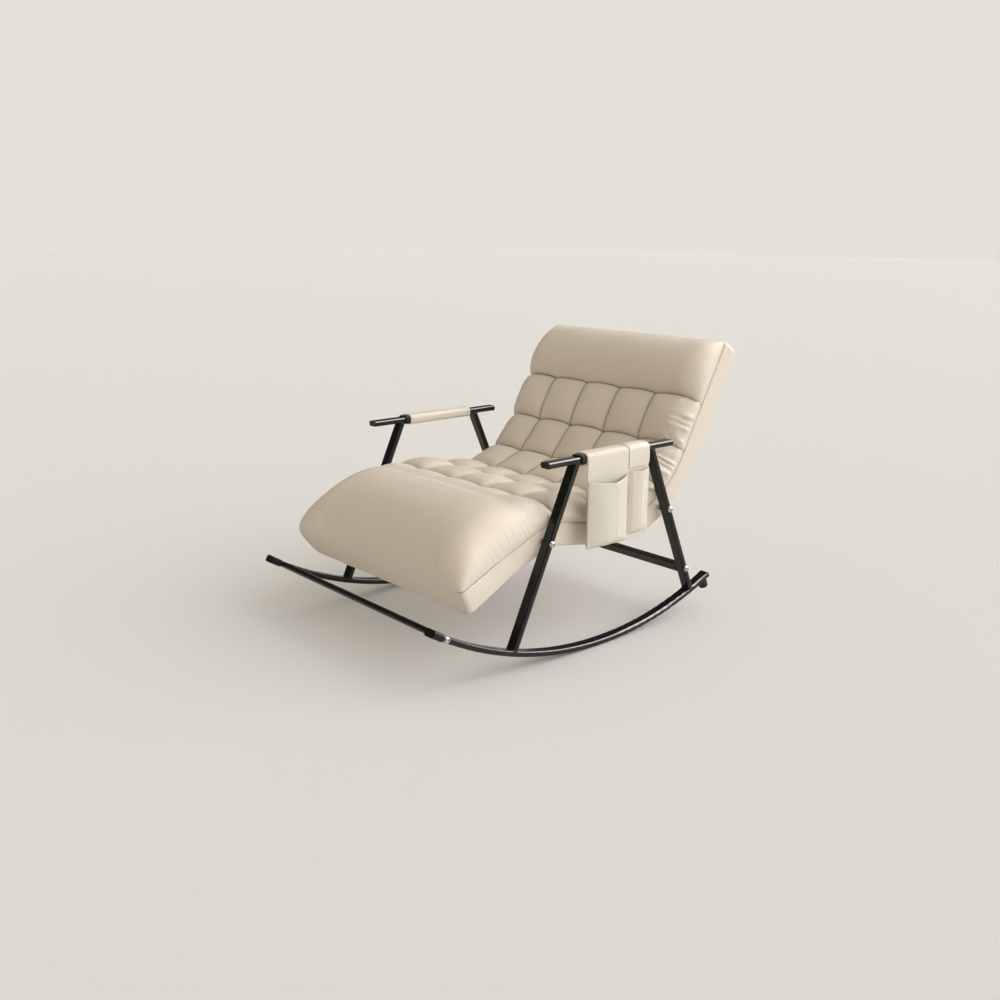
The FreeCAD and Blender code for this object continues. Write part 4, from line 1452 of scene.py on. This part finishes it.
def make_run_tree(name: str, round_shape: bool) -> NodeTree:
    """Build the nodes that set small shapes along a line: stitches, or the beads of a weld.

    Args:
        name: the tree's name.
        round_shape: True for beads of uneven size, False for even stitches.

    Returns:
        The tree.
    """
    wiring = make_group(
        name,
        "GeometryNodeTree",
        {
            "Geometry": ("NodeSocketGeometry", None),
            "Pitch": (FLOAT, 0.005),
            "Length": (FLOAT, 0.0036),
            "Thickness": (FLOAT, 0.0008),
            "Unevenness": (FLOAT, 0.3 if round_shape else 0.08),
            "Seed": ("NodeSocketInt", 4),
            "Material": ("NodeSocketMaterial", None),
        },
        {"Geometry": "NodeSocketGeometry"},
    )
    source = wiring.add("NodeGroupInput").outputs
    curve = wiring.add("GeometryNodeMeshToCurve", {"Mesh": source["Geometry"]}).outputs[0]
    places = wiring.add(
        "GeometryNodeCurveToPoints", {"Curve": curve, "Length": source["Pitch"]}, mode="LENGTH"
    ).outputs
    ball = wiring.add("GeometryNodeMeshUVSphere", {"Segments": 6, "Rings": 4, "Radius": 0.5}).outputs["Mesh"]
    limits = {
        2: wiring.math("SUBTRACT", 1.0, source["Unevenness"]),
        3: wiring.math("ADD", 1.0, source["Unevenness"]),
    }
    chance = wiring.add("FunctionNodeRandomValue", {**limits, "Seed": source["Seed"]}, data_type="FLOAT")
    sizes = {0: source["Thickness"], 1: source["Thickness"], 2: source["Length"]}
    size = wiring.add("ShaderNodeCombineXYZ", sizes).outputs[0]
    scale = wiring.add("ShaderNodeVectorMath", {0: size, "Scale": chance.outputs[1]}, operation="SCALE")
    set_out = wiring.add(
        "GeometryNodeInstanceOnPoints",
        {
            "Points": places["Points"],
            "Instance": ball,
            "Rotation": places["Rotation"],
            "Scale": scale.outputs[0],
        },
    )
    return end_tree(wiring, set_out.outputs[0], source["Material"])


def end_tree(
    wiring: Wiring, shape: NodeSocket, material: NodeSocket
) -> NodeTree:
    """End a tree of nodes: make its shape plain and smooth, and give it a finish.

    Args:
        wiring: the tree's wiring.
        shape: the shape that the tree has made.
        material: the finish.

    Returns:
        The tree.
    """
    solid = wiring.add("GeometryNodeRealizeInstances", {"Geometry": shape}).outputs[0]
    smooth = wiring.add("GeometryNodeSetShadeSmooth", {"Geometry": solid}).outputs[0]
    finished = wiring.add("GeometryNodeSetMaterial", {"Geometry": smooth, "Material": material})
    wiring.add("NodeGroupOutput", {0: finished.outputs[0]})
    return wiring.tree


def make_cord_tree() -> NodeTree:
    """Build the nodes that draw a sewn seam as a thin cord along a line.

    Returns:
        The tree.
    """
    wiring = make_group(
        "seam_cord",
        "GeometryNodeTree",
        {
            "Geometry": ("NodeSocketGeometry", None),
            "Radius": (FLOAT, 0.0007),
            "Material": ("NodeSocketMaterial", None),
        },
        {"Geometry": "NodeSocketGeometry"},
    )
    source = wiring.add("NodeGroupInput").outputs
    curve = wiring.add("GeometryNodeMeshToCurve", {"Mesh": source["Geometry"]}).outputs[0]
    ring = wiring.add("GeometryNodeCurvePrimitiveCircle", {"Resolution": 6, "Radius": source["Radius"]})
    tube = wiring.add(
        "GeometryNodeCurveToMesh", {"Curve": curve, "Profile Curve": ring.outputs["Curve"], "Fill Caps": True}
    )
    return end_tree(wiring, tube.outputs["Mesh"], source["Material"])


STITCH_TREE = make_run_tree("stitch_run", False)
CORD_TREE = make_cord_tree()
BEAD_TREE = make_run_tree("bead_run", True)


def run_along(
    name: str, lines: Sequence[np.ndarray], tree: NodeTree, values: dict[str, object]
) -> Object:
    """Set stitches or beads along lines and turn them into one plain mesh.

    Args:
        name: name of the piece.
        lines: points of each line.
        tree: the nodes that make the run.
        values: their inputs by name.

    Returns:
        The finished piece.
    """
    edges = []
    start = 0
    for line in lines:
        edges += [(start + step, start + step + 1) for step in range(len(line) - 1)]
        start += len(line)
    mesh = bpy.data.meshes.new(name)
    mesh.from_pydata([tuple(point) for point in np.vstack(lines).tolist()], edges, [])
    piece = bpy.data.objects.new(name, mesh)
    modifier = piece.modifiers.new("run", "NODES")
    modifier.node_group = tree
    for item in tree.interface.items_tree:
        if item.in_out == "INPUT" and item.name in values:
            modifier[item.identifier] = values[item.name]
    bpy.context.scene.collection.objects.link(piece)
    bake(piece)
    return piece


# Armrests and side pocket


def rounded_ring(width: float, depth: float, corner: float, steps: int = 7, count: int = 72) -> np.ndarray:
    """Draw a rounded rectangle.

    Args:
        width: its full width.
        depth: its full depth.
        corner: the radius of its corners.
        steps: points drawn in each corner.
        count: points that it is given all round.

    Returns:
        Its points, one to a row, without the first repeated.
    """
    corner = min(corner, 0.49 * width, 0.49 * depth)
    ring = []
    for quarter, (sx, sy) in enumerate(((1, 1), (-1, 1), (-1, -1), (1, -1))):
        angles = math.pi / 2 * (quarter + np.linspace(0, 1, steps))
        cx = sx * (width / 2 - corner)
        cy = sy * (depth / 2 - corner)
        ring.append(np.stack([cx + corner * np.cos(angles), cy + corner * np.sin(angles)], axis=1))
    return resample(closed(np.vstack(ring)), count)[:-1]


@dataclass(frozen=True)
class ArmBar:
    """Section and place of one armrest bar."""

    x: float
    z: float = 0.491
    width: float = TUBE_WIDTH
    depth: float = TUBE_DEPTH
    corner: float = TUBE_CORNER
    wave_length: float = 0.05
    wave_turn: float = 0.03

    def ring(self, y: float, grow: float, wave: float = 0.0, seed: int = 1) -> np.ndarray:
        """Draw a ring round the bar.

        Args:
            y: place along the bar.
            grow: distance outside the bar.
            wave: height of its uneven waves.
            seed: number that fixes the waves.

        Returns:
            Its points, without the first repeated.
        """
        ring = rounded_ring(self.width + 2 * grow, self.depth + 2 * grow, self.corner + grow)
        away = ring / np.linalg.norm(ring, axis=1, keepdims=True)
        turn = np.linspace(0, 2 * math.pi, len(ring), endpoint=False)
        along = np.full(len(ring), y)
        lift = wave * ripple(along, self.wave_turn * np.sin(turn), self.wave_length, seed)
        ring = ring + away * lift[:, None]
        return np.stack([self.x + ring[:, 0], along, self.z + ring[:, 1]], axis=1)

    def tube(self, name: str, stations: Sequence[Point2], wave: float, seed: int) -> Object:
        """Make a closed wall round the bar.

        Args:
            name: name of the piece.
            stations: (place along the bar, distance outside the bar) round the wall's section.
            wave: height of its uneven waves.
            seed: number that fixes the waves.

        Returns:
            The new piece.
        """
        rings = [self.ring(y, grow, wave, seed) for y, grow in stations]
        faces = grid_faces(len(rings), len(rings[0]), ring=True, loop=True)
        piece = make_object(name, np.vstack(rings), faces)
        turn_outward(piece)
        return piece


@dataclass
class ArmRest:
    """Foam pad and cloth sleeve on one armrest bar."""

    side: Side
    reach: float = FRAME_REACH
    pad_gap: float = 0.0004
    pad_wall: float = 0.0041
    pad_lip: float = 0.0046
    sleeve_gap: float = 0.0045
    sleeve_wall: float = 0.0015
    edge_round: float = 0.0006
    edge_share: float = 0.4
    hem_width: float = 0.008
    hem_slope: float = 0.001
    hem_start: float = 0.003
    hem_lift: float = 0.0008
    stitch_lift: float = 0.0002
    wave: float = 0.0005

    def __post_init__(self) -> None:
        """Find the bar and the ends of pad and sleeve."""
        self.bar = ArmBar(self.side.value * self.reach)
        self.pad_ends = [corner.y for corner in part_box("arm_pad_" + self.side.word)]
        self.sleeve_ends = [corner.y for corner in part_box("arm_sleeve_" + self.side.word)]
        self.outer = self.sleeve_gap + self.sleeve_wall

    def make_pad(self) -> Object:
        """Make the foam, which swells where the sleeve leaves it bare.

        Returns:
            The new piece.
        """
        front, rear = self.pad_ends
        bare = self.sleeve_ends[0]
        lip = self.pad_lip
        stations = [(y, self.pad_gap) for y in np.linspace(rear, front, 12)]
        stations += [(front - 0.0008, 0.4 * lip), (front, 0.75 * lip), (front + 0.002, 0.95 * lip)]
        stations += [(front + 0.005, lip), (bare - 0.004, lip), (bare - 0.001, 0.92 * lip)]
        stations += [(bare + 0.003, self.pad_wall)]
        stations += [(y, self.pad_wall) for y in np.linspace(bare + 0.012, rear, 20)]
        return self.bar.tube("arm_foam_" + self.side.word, stations, 0.0, 1)

    def make_sleeve(self) -> Object:
        """Make the sleeve, with a folded hem at both ends.

        Returns:
            The new piece.
        """
        front, rear = self.sleeve_ends
        outer = self.outer
        hem = outer + self.hem_lift
        fold = self.hem_width
        slope = self.hem_slope
        inset = self.hem_start
        edge = self.sleeve_gap + self.edge_share * self.sleeve_wall
        stations = [(y, self.sleeve_gap) for y in np.linspace(rear, front, 40)]
        stations += [(front - self.edge_round, edge), (front, outer), (front + slope, hem)]
        stations += [(y, hem) for y in np.linspace(front + inset, front + fold - slope, 3)]
        stations += [(y, outer) for y in np.linspace(front + fold, rear - fold, 46)]
        stations += [(y, hem) for y in np.linspace(rear - fold + slope, rear - inset, 3)]
        stations += [(rear - slope, hem), (rear, outer), (rear + self.edge_round, edge)]
        name = "arm_sleeve_cloth_" + self.side.word
        return self.bar.tube(name, stations, self.wave, 11 + self.side.value)

    def hem_lines(self) -> list[np.ndarray]:
        """Find the lines of stitches round both hems.

        Returns:
            The points of each line.
        """
        front, rear = self.sleeve_ends
        grow = self.outer + self.stitch_lift
        return [closed(self.bar.ring(y, grow)) for y in (front + self.hem_width, rear - self.hem_width)]

    def build(self, foam: Material, cloth: Material) -> None:
        """Make pad and sleeve.

        Args:
            foam: the pad's finish.
            cloth: the sleeve's finish.
        """
        pad = self.make_pad()
        dress(pad, foam, Body.CHAIR)
        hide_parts("arm_pad_" + self.side.word)
        sleeve = self.make_sleeve()
        dress(sleeve, cloth, Body.CHAIR)
        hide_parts("arm_sleeve_" + self.side.word)
        front, rear = self.sleeve_ends
        girth = walked(closed(self.bar.ring(front, self.sleeve_gap + self.sleeve_wall / 2)))[-1]


@dataclass
class Pouch:
    """One open pouch sewn to the pocket's back panel: a rounded face and a sloping gusset."""

    name: str
    node: str
    face: float
    mouth_dip: float
    mouth_rise: float
    corner_sweep: float
    belly: float
    low_round: Point2 = (0.24, 0.15)
    thin: float = 0.05
    uneven: float = 0.0009
    uneven_wave: float = 0.09
    most_belly: float = 0.006
    cloth: float = 0.0016
    stitch_lift: float = 0.0010
    stitch_rows: int = 3
    stop_points: int = 4
    stop_rows: int = 2
    across_steps: int = 64
    up_steps: int = 40

    def __post_init__(self) -> None:
        """Take the pouch's box from the frame."""
        low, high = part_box(self.node)
        self.back = low.x
        self.front = low.y
        self.bottom = low.z
        self.width = high.y - low.y
        self.depth = high.x - low.x - self.cloth / 2
        self.height = high.z - low.z

    def rounded(self, share: float, reach: float) -> float:
        """Round off towards the bottom: 0 there, and 1 from a share of the height on."""
        return math.sqrt(max(0.0, 1 - (1 - min(1.0, share / reach)) ** 2))

    def corner(self, share: float) -> float:
        """Find where face and gusset meet at a share of the height, as a length from the front edge."""
        return self.face - self.corner_sweep * (1 - self.rounded(share, self.low_round[0]))

    def outline(self, share: float) -> np.ndarray:
        """Draw the pouch's plan at a share of its height, as (rearward, outward) from its front edge.

        Args:
            share: share of the height.

        Returns:
            The plan's points.
        """
        corner = self.corner(share)
        depth = self.depth * (self.thin + (1 - self.thin) * self.rounded(share, self.low_round[1]))
        points = [(0.0, 0.0), (0.003, 0.10 * depth), (0.25 * corner, 0.44 * depth)]
        points += [(0.6 * corner, 0.80 * depth), (corner - 0.006, 0.985 * depth), (corner, depth)]
        points += [(corner + 0.005, 0.93 * depth), (0.5 * (corner + self.width), 0.54 * depth)]
        return smooth_line([*points, (self.width, 0.0)], self.across_steps)

    def grid(self) -> np.ndarray:
        """Place the pouch's cloth, from the bottom up.

        Returns:
            Its points, row by row.
        """
        rows = []
        for share in np.linspace(0, 1, self.up_steps + 1):
            plan = self.outline(share)
            t = np.linspace(0, 1, len(plan))
            on_face = np.clip(plan[:, 0] / self.face, 0, 1)
            whole = np.clip(plan[:, 0] / self.width, 0, 1)
            top = self.height + self.mouth_rise - self.mouth_dip * np.sin(np.pi * whole)
            z = self.bottom + share * top
            belly = self.belly * math.sin(math.pi * share) * np.sin(np.pi * on_face)
            out = plan[:, 1] + belly * (plan[:, 0] <= self.face)
            wave = ripple(plan[:, 0], np.full(len(t), z.mean()), self.uneven_wave, 21)
            out = out + self.uneven * wave * np.sin(np.pi * t)
            out = np.minimum(out, self.depth + self.most_belly) + self.cloth / 2
            rows.append(np.stack([self.back + out, self.front + plan[:, 0], z], axis=1))
        return np.stack(rows)

    def seam(self) -> np.ndarray:
        """Find the seam between face and gusset, from the bottom up.

        Returns:
            The line's points.
        """
        rows = self.grid()
        line = []
        for row, share in zip(rows, np.linspace(0, 1, self.up_steps + 1)):
            wanted = self.front + self.corner(share)
            line.append([np.interp(wanted, row[:, 1], row[:, axis]) for axis in range(3)])
        return np.array(line)[self.stop_rows : -self.stop_rows] + np.array([self.cloth / 2, 0.0, 0.0])

    def hem(self) -> np.ndarray:
        """Find the line of stitches under the mouth."""
        line = self.grid()[-1 - self.stitch_rows] + np.array([self.stitch_lift, 0.0, 0.0])
        return line[self.stop_points : -self.stop_points]

    def build(self, cloth: Material, panel: Object) -> None:
        """Make the pouch.

        Args:
            cloth: its finish.
            panel: the panel that it is sewn to; not used.
        """
        rows = self.grid()
        piece = make_sheet(self.name, rows, self.cloth)
        dress(piece, cloth, Body.POCKET)
        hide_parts(self.node)


@dataclass
class SidePocket:
    """Cloth that lies over the left sleeve and hangs outside it, with two pouches."""

    bar: ArmBar
    sleeve_grow: float = 0.0060
    lift: float = 0.0012
    cloth: float = 0.0016
    flap_front: float = 0.056
    flap_bottom: float = 0.447
    flap_round: float = 0.016
    flap_lift: float = 0.0020
    flap_over: float = 0.0008
    flap_points: int = 25
    along_steps: int = 64
    across_steps: int = 52
    hem: float = 0.009
    hem_drop: float = 0.006
    hem_rows: int = 3
    stitch_lift: float = 0.0001
    pitch: float = 0.0048
    turn_start: float = 0.4975
    turn_end: float = 0.4815
    straight_drop: float = 0.004
    inner_angle: float = 150.0
    flare: float = 0.0016
    flare_wave: float = 0.13
    flare_reach: float = 0.12
    curl: float = 0.0014
    curl_reach: float = 0.012

    def __post_init__(self) -> None:
        """Take the panel's box from the frame."""
        low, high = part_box("pocket_back")
        self.front, self.rear = low.y, high.y
        self.bottom = low.z
        self.hang_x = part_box("magazine_pocket")[0].x - self.cloth / 2

    def profile(self) -> np.ndarray:
        """Draw the cloth's line across the bar: over its top, round its outer edge and down.

        Returns:
            Points as (x, z).
        """
        grow = self.sleeve_grow + self.lift
        radius = self.bar.corner + grow
        centre_x = self.bar.x + self.bar.width / 2 - self.bar.corner
        centre_z = self.bar.z + self.bar.depth / 2 - self.bar.corner
        inner_x = 2 * self.bar.x - centre_x
        points = []
        for angle in np.radians(np.linspace(self.inner_angle, 90, 8)):
            points.append((inner_x + radius * math.cos(angle), centre_z + radius * math.sin(angle)))
        for angle in np.radians(np.linspace(90, 0, 12)):
            points.append((centre_x + radius * math.cos(angle), centre_z + radius * math.sin(angle)))
        points.append((self.hang_x, self.turn_end - self.straight_drop))
        points.append((self.hang_x, self.bottom))
        return resample(np.array(points), self.along_steps)

    def grid(self) -> np.ndarray:
        """Place the cloth, row by row from the top down.

        Returns:
            Its points, row by row.
        """
        y = np.linspace(self.front, self.rear, self.across_steps + 1)
        edge = np.minimum(y - self.front, self.rear - y)
        rows = []
        for x, z in self.profile():
            fall = float(ease(np.array((self.turn_end - z) / self.flare_reach)))
            flare = self.flare * fall * ripple(y, np.full(y.shape, z), self.flare_wave, 31)
            curl = self.curl * fall * np.exp(-edge / self.curl_reach)
            rows.append(np.stack([x + flare - curl, y, np.full(y.shape, z)], axis=1))
        return np.stack(rows)

    def make_panel(self, cloth: Material) -> Object:
        """Make the cloth that hangs from the sleeve.

        Args:
            cloth: its finish.

        Returns:
            The new piece.
        """
        panel = self.hang("pocket_panel", self.grid(), cloth)
        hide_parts("pocket_back")
        return panel

    def make_flap(self, cloth: Material) -> None:
        """Make the flap over the smaller pouch: a second layer with one rounded corner.

        Args:
            cloth: its finish.
        """
        rows = []
        for x, z in self.profile():
            if z < self.flap_bottom:
                break
            short = np.clip(1 - (z - self.flap_bottom) / self.flap_round, 0, 1)
            rear = self.rear + self.flap_over - self.flap_round * (1 - math.sqrt(1 - short**2))
            y = np.linspace(self.flap_front, rear, self.flap_points)
            rows.append(np.stack([np.full(y.shape, x), y, np.full(y.shape, z)], axis=1))
        rows = np.stack(rows)
        middle = np.array([self.bar.x, 0.0, self.bar.z])
        away = (rows - middle) * [1.0, 0.0, 1.0]
        away[rows[..., 2] < self.bar.z] *= [1.0, 0.0, 0.0]
        away /= np.linalg.norm(away, axis=2, keepdims=True)
        self.hang("pocket_flap", rows + self.flap_lift * away, cloth)

    def hang(self, name: str, rows: np.ndarray, cloth: Material) -> Object:
        """Make one layer of cloth that crosses the line where the pocket swings.

        Args:
            name: name of the piece.
            rows: its points, row by row from the top down.
            cloth: its finish.

        Returns:
            The new piece.
        """
        piece = make_sheet(name, rows, self.cloth)
        piece.data.materials.append(cloth)
        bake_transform(piece)
        LOG.info("%s between chair and pocket: %d faces", name, len(piece.data.polygons))
        return piece

    def hem_lines(self) -> list[np.ndarray]:
        """Find the lines of stitches along the panel's hanging edges.

        Returns:
            The points of each line.
        """
        rows = self.grid()
        low = rows[rows[:, 0, 2] < self.turn_end - self.hem_drop]
        step = (self.rear - self.front) / self.across_steps
        column = round(self.hem / step)
        lines = [low[:, column], low[:, -1 - column], low[-1 - self.hem_rows]]
        return [line + np.array([self.cloth / 2 + self.stitch_lift, 0.0, 0.0]) for line in lines]

    def build(self, cloth: Material, thread: Material) -> None:
        """Make panel, pouches and their stitches.

        Args:
            cloth: the finish of the cloth.
            thread: the finish of the stitches.
        """
        panel = self.make_panel(cloth)
        pouches = [
            Pouch("magazine_pouch", "magazine_pocket", 0.074, 0.007, 0.006, 0.026, 0.003),
            Pouch("remote_pouch", "remote_pocket", 0.032, 0.003, 0.003, 0.014, 0.001),
        ]
        self.make_flap(cloth)
        lines = self.hem_lines()
        seams = []
        for pouch in pouches:
            pouch.build(cloth, panel)
            lines.append(pouch.hem())
            seams.append(pouch.seam())
        cords = run_along("pocket_seams", seams, CORD_TREE, {"Material": thread})
        dress(cords, thread, Body.POCKET)
        values = {"Material": thread, "Pitch": self.pitch}
        stitches = run_along("pocket_stitches", lines, STITCH_TREE, values)
        dress(stitches, thread, Body.POCKET)


@dataclass
class SideFrames:
    """Welds that join the legs to rockers and armrest bars."""

    rocker_radius: float = 1.035
    tube: Point3 = (TUBE_WIDTH, TUBE_DEPTH, TUBE_CORNER)
    frame_x: float = FRAME_REACH
    arm_top: float = 0.4985
    legs: tuple[Point2, ...] = ((-0.304, -0.111), (0.340, 0.158))
    bead: float = 0.0026
    bead_pitch: float = 0.0017

    def weld_lines(self) -> list[np.ndarray]:
        """Find the closed line of each weld.

        Returns:
            The points of each line.
        """
        width, depth, corner = self.tube
        top_radius = self.rocker_radius - depth
        arm_under = self.arm_top - depth
        ring = closed(rounded_ring(width, depth, corner))
        lines = []
        for foot_y, head_y in self.legs:
            foot = np.array([foot_y, self.rocker_radius - math.sqrt(top_radius**2 - foot_y**2)])
            head = np.array([head_y, arm_under])
            axis = (head - foot) / np.linalg.norm(head - foot)
            normal = np.array([-axis[1], axis[0]])
            start = foot + ring[:, 1:] * normal
            away = start - np.array([0.0, self.rocker_radius])
            along = away @ axis
            half_chord = np.sqrt(along**2 - (away**2).sum(1) + top_radius**2)
            ways = np.stack([-along - half_chord, -along + half_chord])
            step = np.where(abs(ways[0]) < abs(ways[1]), *ways)
            low = start + step[:, None] * axis
            high = start + ((arm_under - start[:, 1]) / axis[1])[:, None] * axis
            for side in Side:
                x = side.value * self.frame_x + ring[:, 0]
                lines.append(np.stack([x, low[:, 0], low[:, 1]], axis=1))
                lines.append(np.stack([x, high[:, 0], high[:, 1]], axis=1))
        return lines

    def build(self, paint: Material) -> None:
        """Lay the weld beads.

        Args:
            paint: the frame's finish, which covers the welds too.
        """
        values = {
            "Material": paint, "Pitch": self.bead_pitch, "Length": self.bead, "Thickness": self.bead
        }
        beads = run_along("weld_beads", self.weld_lines(), BEAD_TREE, values)
        dress(beads, paint, Body.CHAIR)


# Studio


@dataclass(frozen=True)
class Lamp:
    """One wide, even light: its place, the point it shines at, its spread in degrees and its strength."""

    name: str
    place: Point3
    aim: Point3
    spread: float
    power: float
    colour: Colour = (1.0, 1.0, 1.0)

    def build(self) -> None:
        """Hang the light."""
        light = bpy.data.lights.new(self.name, "SUN")
        light.angle = math.radians(self.spread)
        light.energy = self.power
        light.color = self.colour
        lamp = bpy.data.objects.new(self.name, light)
        bpy.context.scene.collection.objects.link(lamp)
        lamp.location = self.place
        lamp.rotation_euler = (Vector(self.aim) - Vector(self.place)).to_track_quat("-Z", "Y").to_euler()


@dataclass
class Studio:
    """Pale floor, soft light and the camera at the photograph's place."""

    camera_place: Point3 = (2.06307, -1.85111, 1.01879)
    camera_yaw: float = -48.679
    camera_drop: float = 14.430
    camera_roll: float = 0.366
    focal_pixels: float = 1049.94
    image_pixels: float = 1000.0
    floor_colour: Colour = (0.785, 0.78, 0.77)
    ambient: Colour = (0.590, 0.546, 0.462)
    backdrop: Colour = (0.792, 0.755, 0.703)
    reflected: Colour = (0.06, 0.058, 0.055)
    window: Colour = (15.0, 15.0, 15.0)
    window_way: Point3 = (0.22, 0.65, 0.73)
    window_spread: Point2 = (0.80, 0.92)
    lamps: tuple[Lamp, ...] = (
        Lamp("window_sky", (0.80, 0.46, 0.37), (0.0, 0.0, 0.0), 80.0, 2.35, (0.98, 1.0, 1.06)),
        Lamp("front_fill", (0.92, -0.30, 0.20), (0.0, 0.0, 0.0), 70.0, 0.45),
    )

    def build(self) -> None:
        """Set up floor, light, world and camera."""
        bpy.context.scene.view_settings.view_transform = "Standard"
        self.make_floor()
        for lamp in self.lamps:
            lamp.build()
        self.make_world()
        self.make_camera()

    def make_floor(self) -> None:
        """Lay a large pale floor just under the rockers."""
        reach = 40.0
        corners = np.array([(-reach, -reach, 0), (reach, -reach, 0), (reach, reach, 0), (-reach, reach, 0)])
        floor = make_object("floor", corners, [(0, 1, 2, 3)])
        material = bpy.data.materials.new("pale_floor")
        material.use_nodes = True
        shader = material.node_tree.nodes["Principled BSDF"]
        shader.inputs["Base Color"].default_value = (*self.floor_colour, 1.0)
        shader.inputs["Roughness"].default_value = 0.9
        shader.inputs["Specular IOR Level"].default_value = 0.1
        floor.data.materials.append(material)

    def make_world(self) -> None:
        """Light the scene softly from all round, pale where the camera looks past the floor."""
        world = bpy.data.worlds.new("studio")
        world.use_nodes = True
        bpy.context.scene.world = world
        wiring = Wiring(world.node_tree)
        path = wiring.add("ShaderNodeLightPath").outputs
        seen = wiring.math("MAXIMUM", path["Is Camera Ray"], path["Is Transmission Ray"])
        way = wiring.add("ShaderNodeTexCoord").outputs["Generated"]
        ahead = wiring.add("ShaderNodeVectorMath", {0: way, 1: self.window_way}, operation="DOT_PRODUCT")
        low, high = self.window_spread
        pane = wiring.add(
            "ShaderNodeMapRange",
            {"Value": ahead.outputs["Value"], "From Min": low, "From Max": high},
            interpolation_type="SMOOTHSTEP",
        )
        gloss = wiring.mix(pane.outputs["Result"], self.reflected, self.window)
        mirrored = wiring.mix(path["Is Glossy Ray"], self.ambient, gloss)
        colour = wiring.mix(seen, mirrored, self.backdrop)
        light = wiring.add("ShaderNodeBackground", {"Color": colour, "Strength": 1.0})
        wiring.add("ShaderNodeOutputWorld", {"Surface": light.outputs[0]})

    def make_camera(self) -> None:
        """Stand the camera where the photograph was taken."""
        yaw, drop, roll = (math.radians(a) for a in (self.camera_yaw, self.camera_drop, self.camera_roll))
        ahead = Vector((math.sin(yaw) * math.cos(drop), math.cos(yaw) * math.cos(drop), -math.sin(drop)))
        level = Vector((math.cos(yaw), -math.sin(yaw), 0.0))
        above = level.cross(ahead)
        right = level * math.cos(roll) + above * math.sin(roll)
        up = above * math.cos(roll) - level * math.sin(roll)
        data = bpy.data.cameras.new("photo_camera")
        data.sensor_width = 36.0
        data.lens = data.sensor_width * self.focal_pixels / self.image_pixels
        camera = bpy.data.objects.new("photo_camera", data)
        bpy.context.scene.collection.objects.link(camera)
        turn = Matrix((right, up, -ahead)).transposed().to_4x4()
        camera.matrix_world = Matrix.Translation(self.camera_place) @ turn
        bpy.context.scene.camera = camera


FRAME_FINISHES = {
    PAINT: ("rocker_left", "rocker_right", "front_leg_left", "front_leg_right", "rear_leg_left",
            "rear_leg_right", "armrest_bar_left", "armrest_bar_right", "front_crossbar", "rear_crossbar"),
    PLASTIC: ("rocker_tip_caps", "rocker_rear_plugs", "armrest_end_caps", "front_crossbar_plugs",
              "rear_crossbar_plugs"),
    RUBBER: ("rear_stops",),
    STEEL: ("rear_stop_screws", "front_crossbar_bolts", "rear_crossbar_bolts", "seat_bolts", "bolt_washers",
            "seat_spacers", "seat_rivet_nuts"),
    RAIL: ("seat_side_rail_left", "seat_side_rail_right", "cross_rail_front", "cross_rail_knee",
           "cross_rail_hip", "cross_rail_top"),
    WEBBING: ("leg_rest_webbing", "seat_webbing", "back_webbing"),
}


def finish_nodes() -> None:
    """Give every CAD node that stays its finish."""
    for finish, names in FRAME_FINISHES.items():
        material = finish.material()
        for name in names:
            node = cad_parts[name]
            for slot in node.material_slots:
                slot.material = material
            LOG.info("%s finished in %s", name, finish.name)


def main() -> None:
    """Build the chair's looks in order."""
    logging.basicConfig(level=logging.INFO, format="%(name)s: %(message)s")
    finish_nodes()
    thread = THREAD.material()
    cloth = SLEEVE.material()
    foam = PAD_FOAM.material()
    cover = Upholstery()
    # The seams take a dark cord colour that paints the shade of the creases.
    cover.build(COVER.material(), SEAM_SHADE_CORD.material())
    lines = [cover.seam_line(side) for side in Side]
    for side in Side:
        arm = ArmRest(side)
        arm.build(foam, cloth)
        lines += arm.hem_lines()
        if side is Side.LEFT:
            SidePocket(arm.bar).build(cloth, thread)
    stitches = run_along("chair_stitches", lines, STITCH_TREE, {"Material": thread})
    dress(stitches, thread, Body.CHAIR)
    SideFrames().build(PAINT.material())
    Studio().build()


if __name__ == "__main__":
    main()
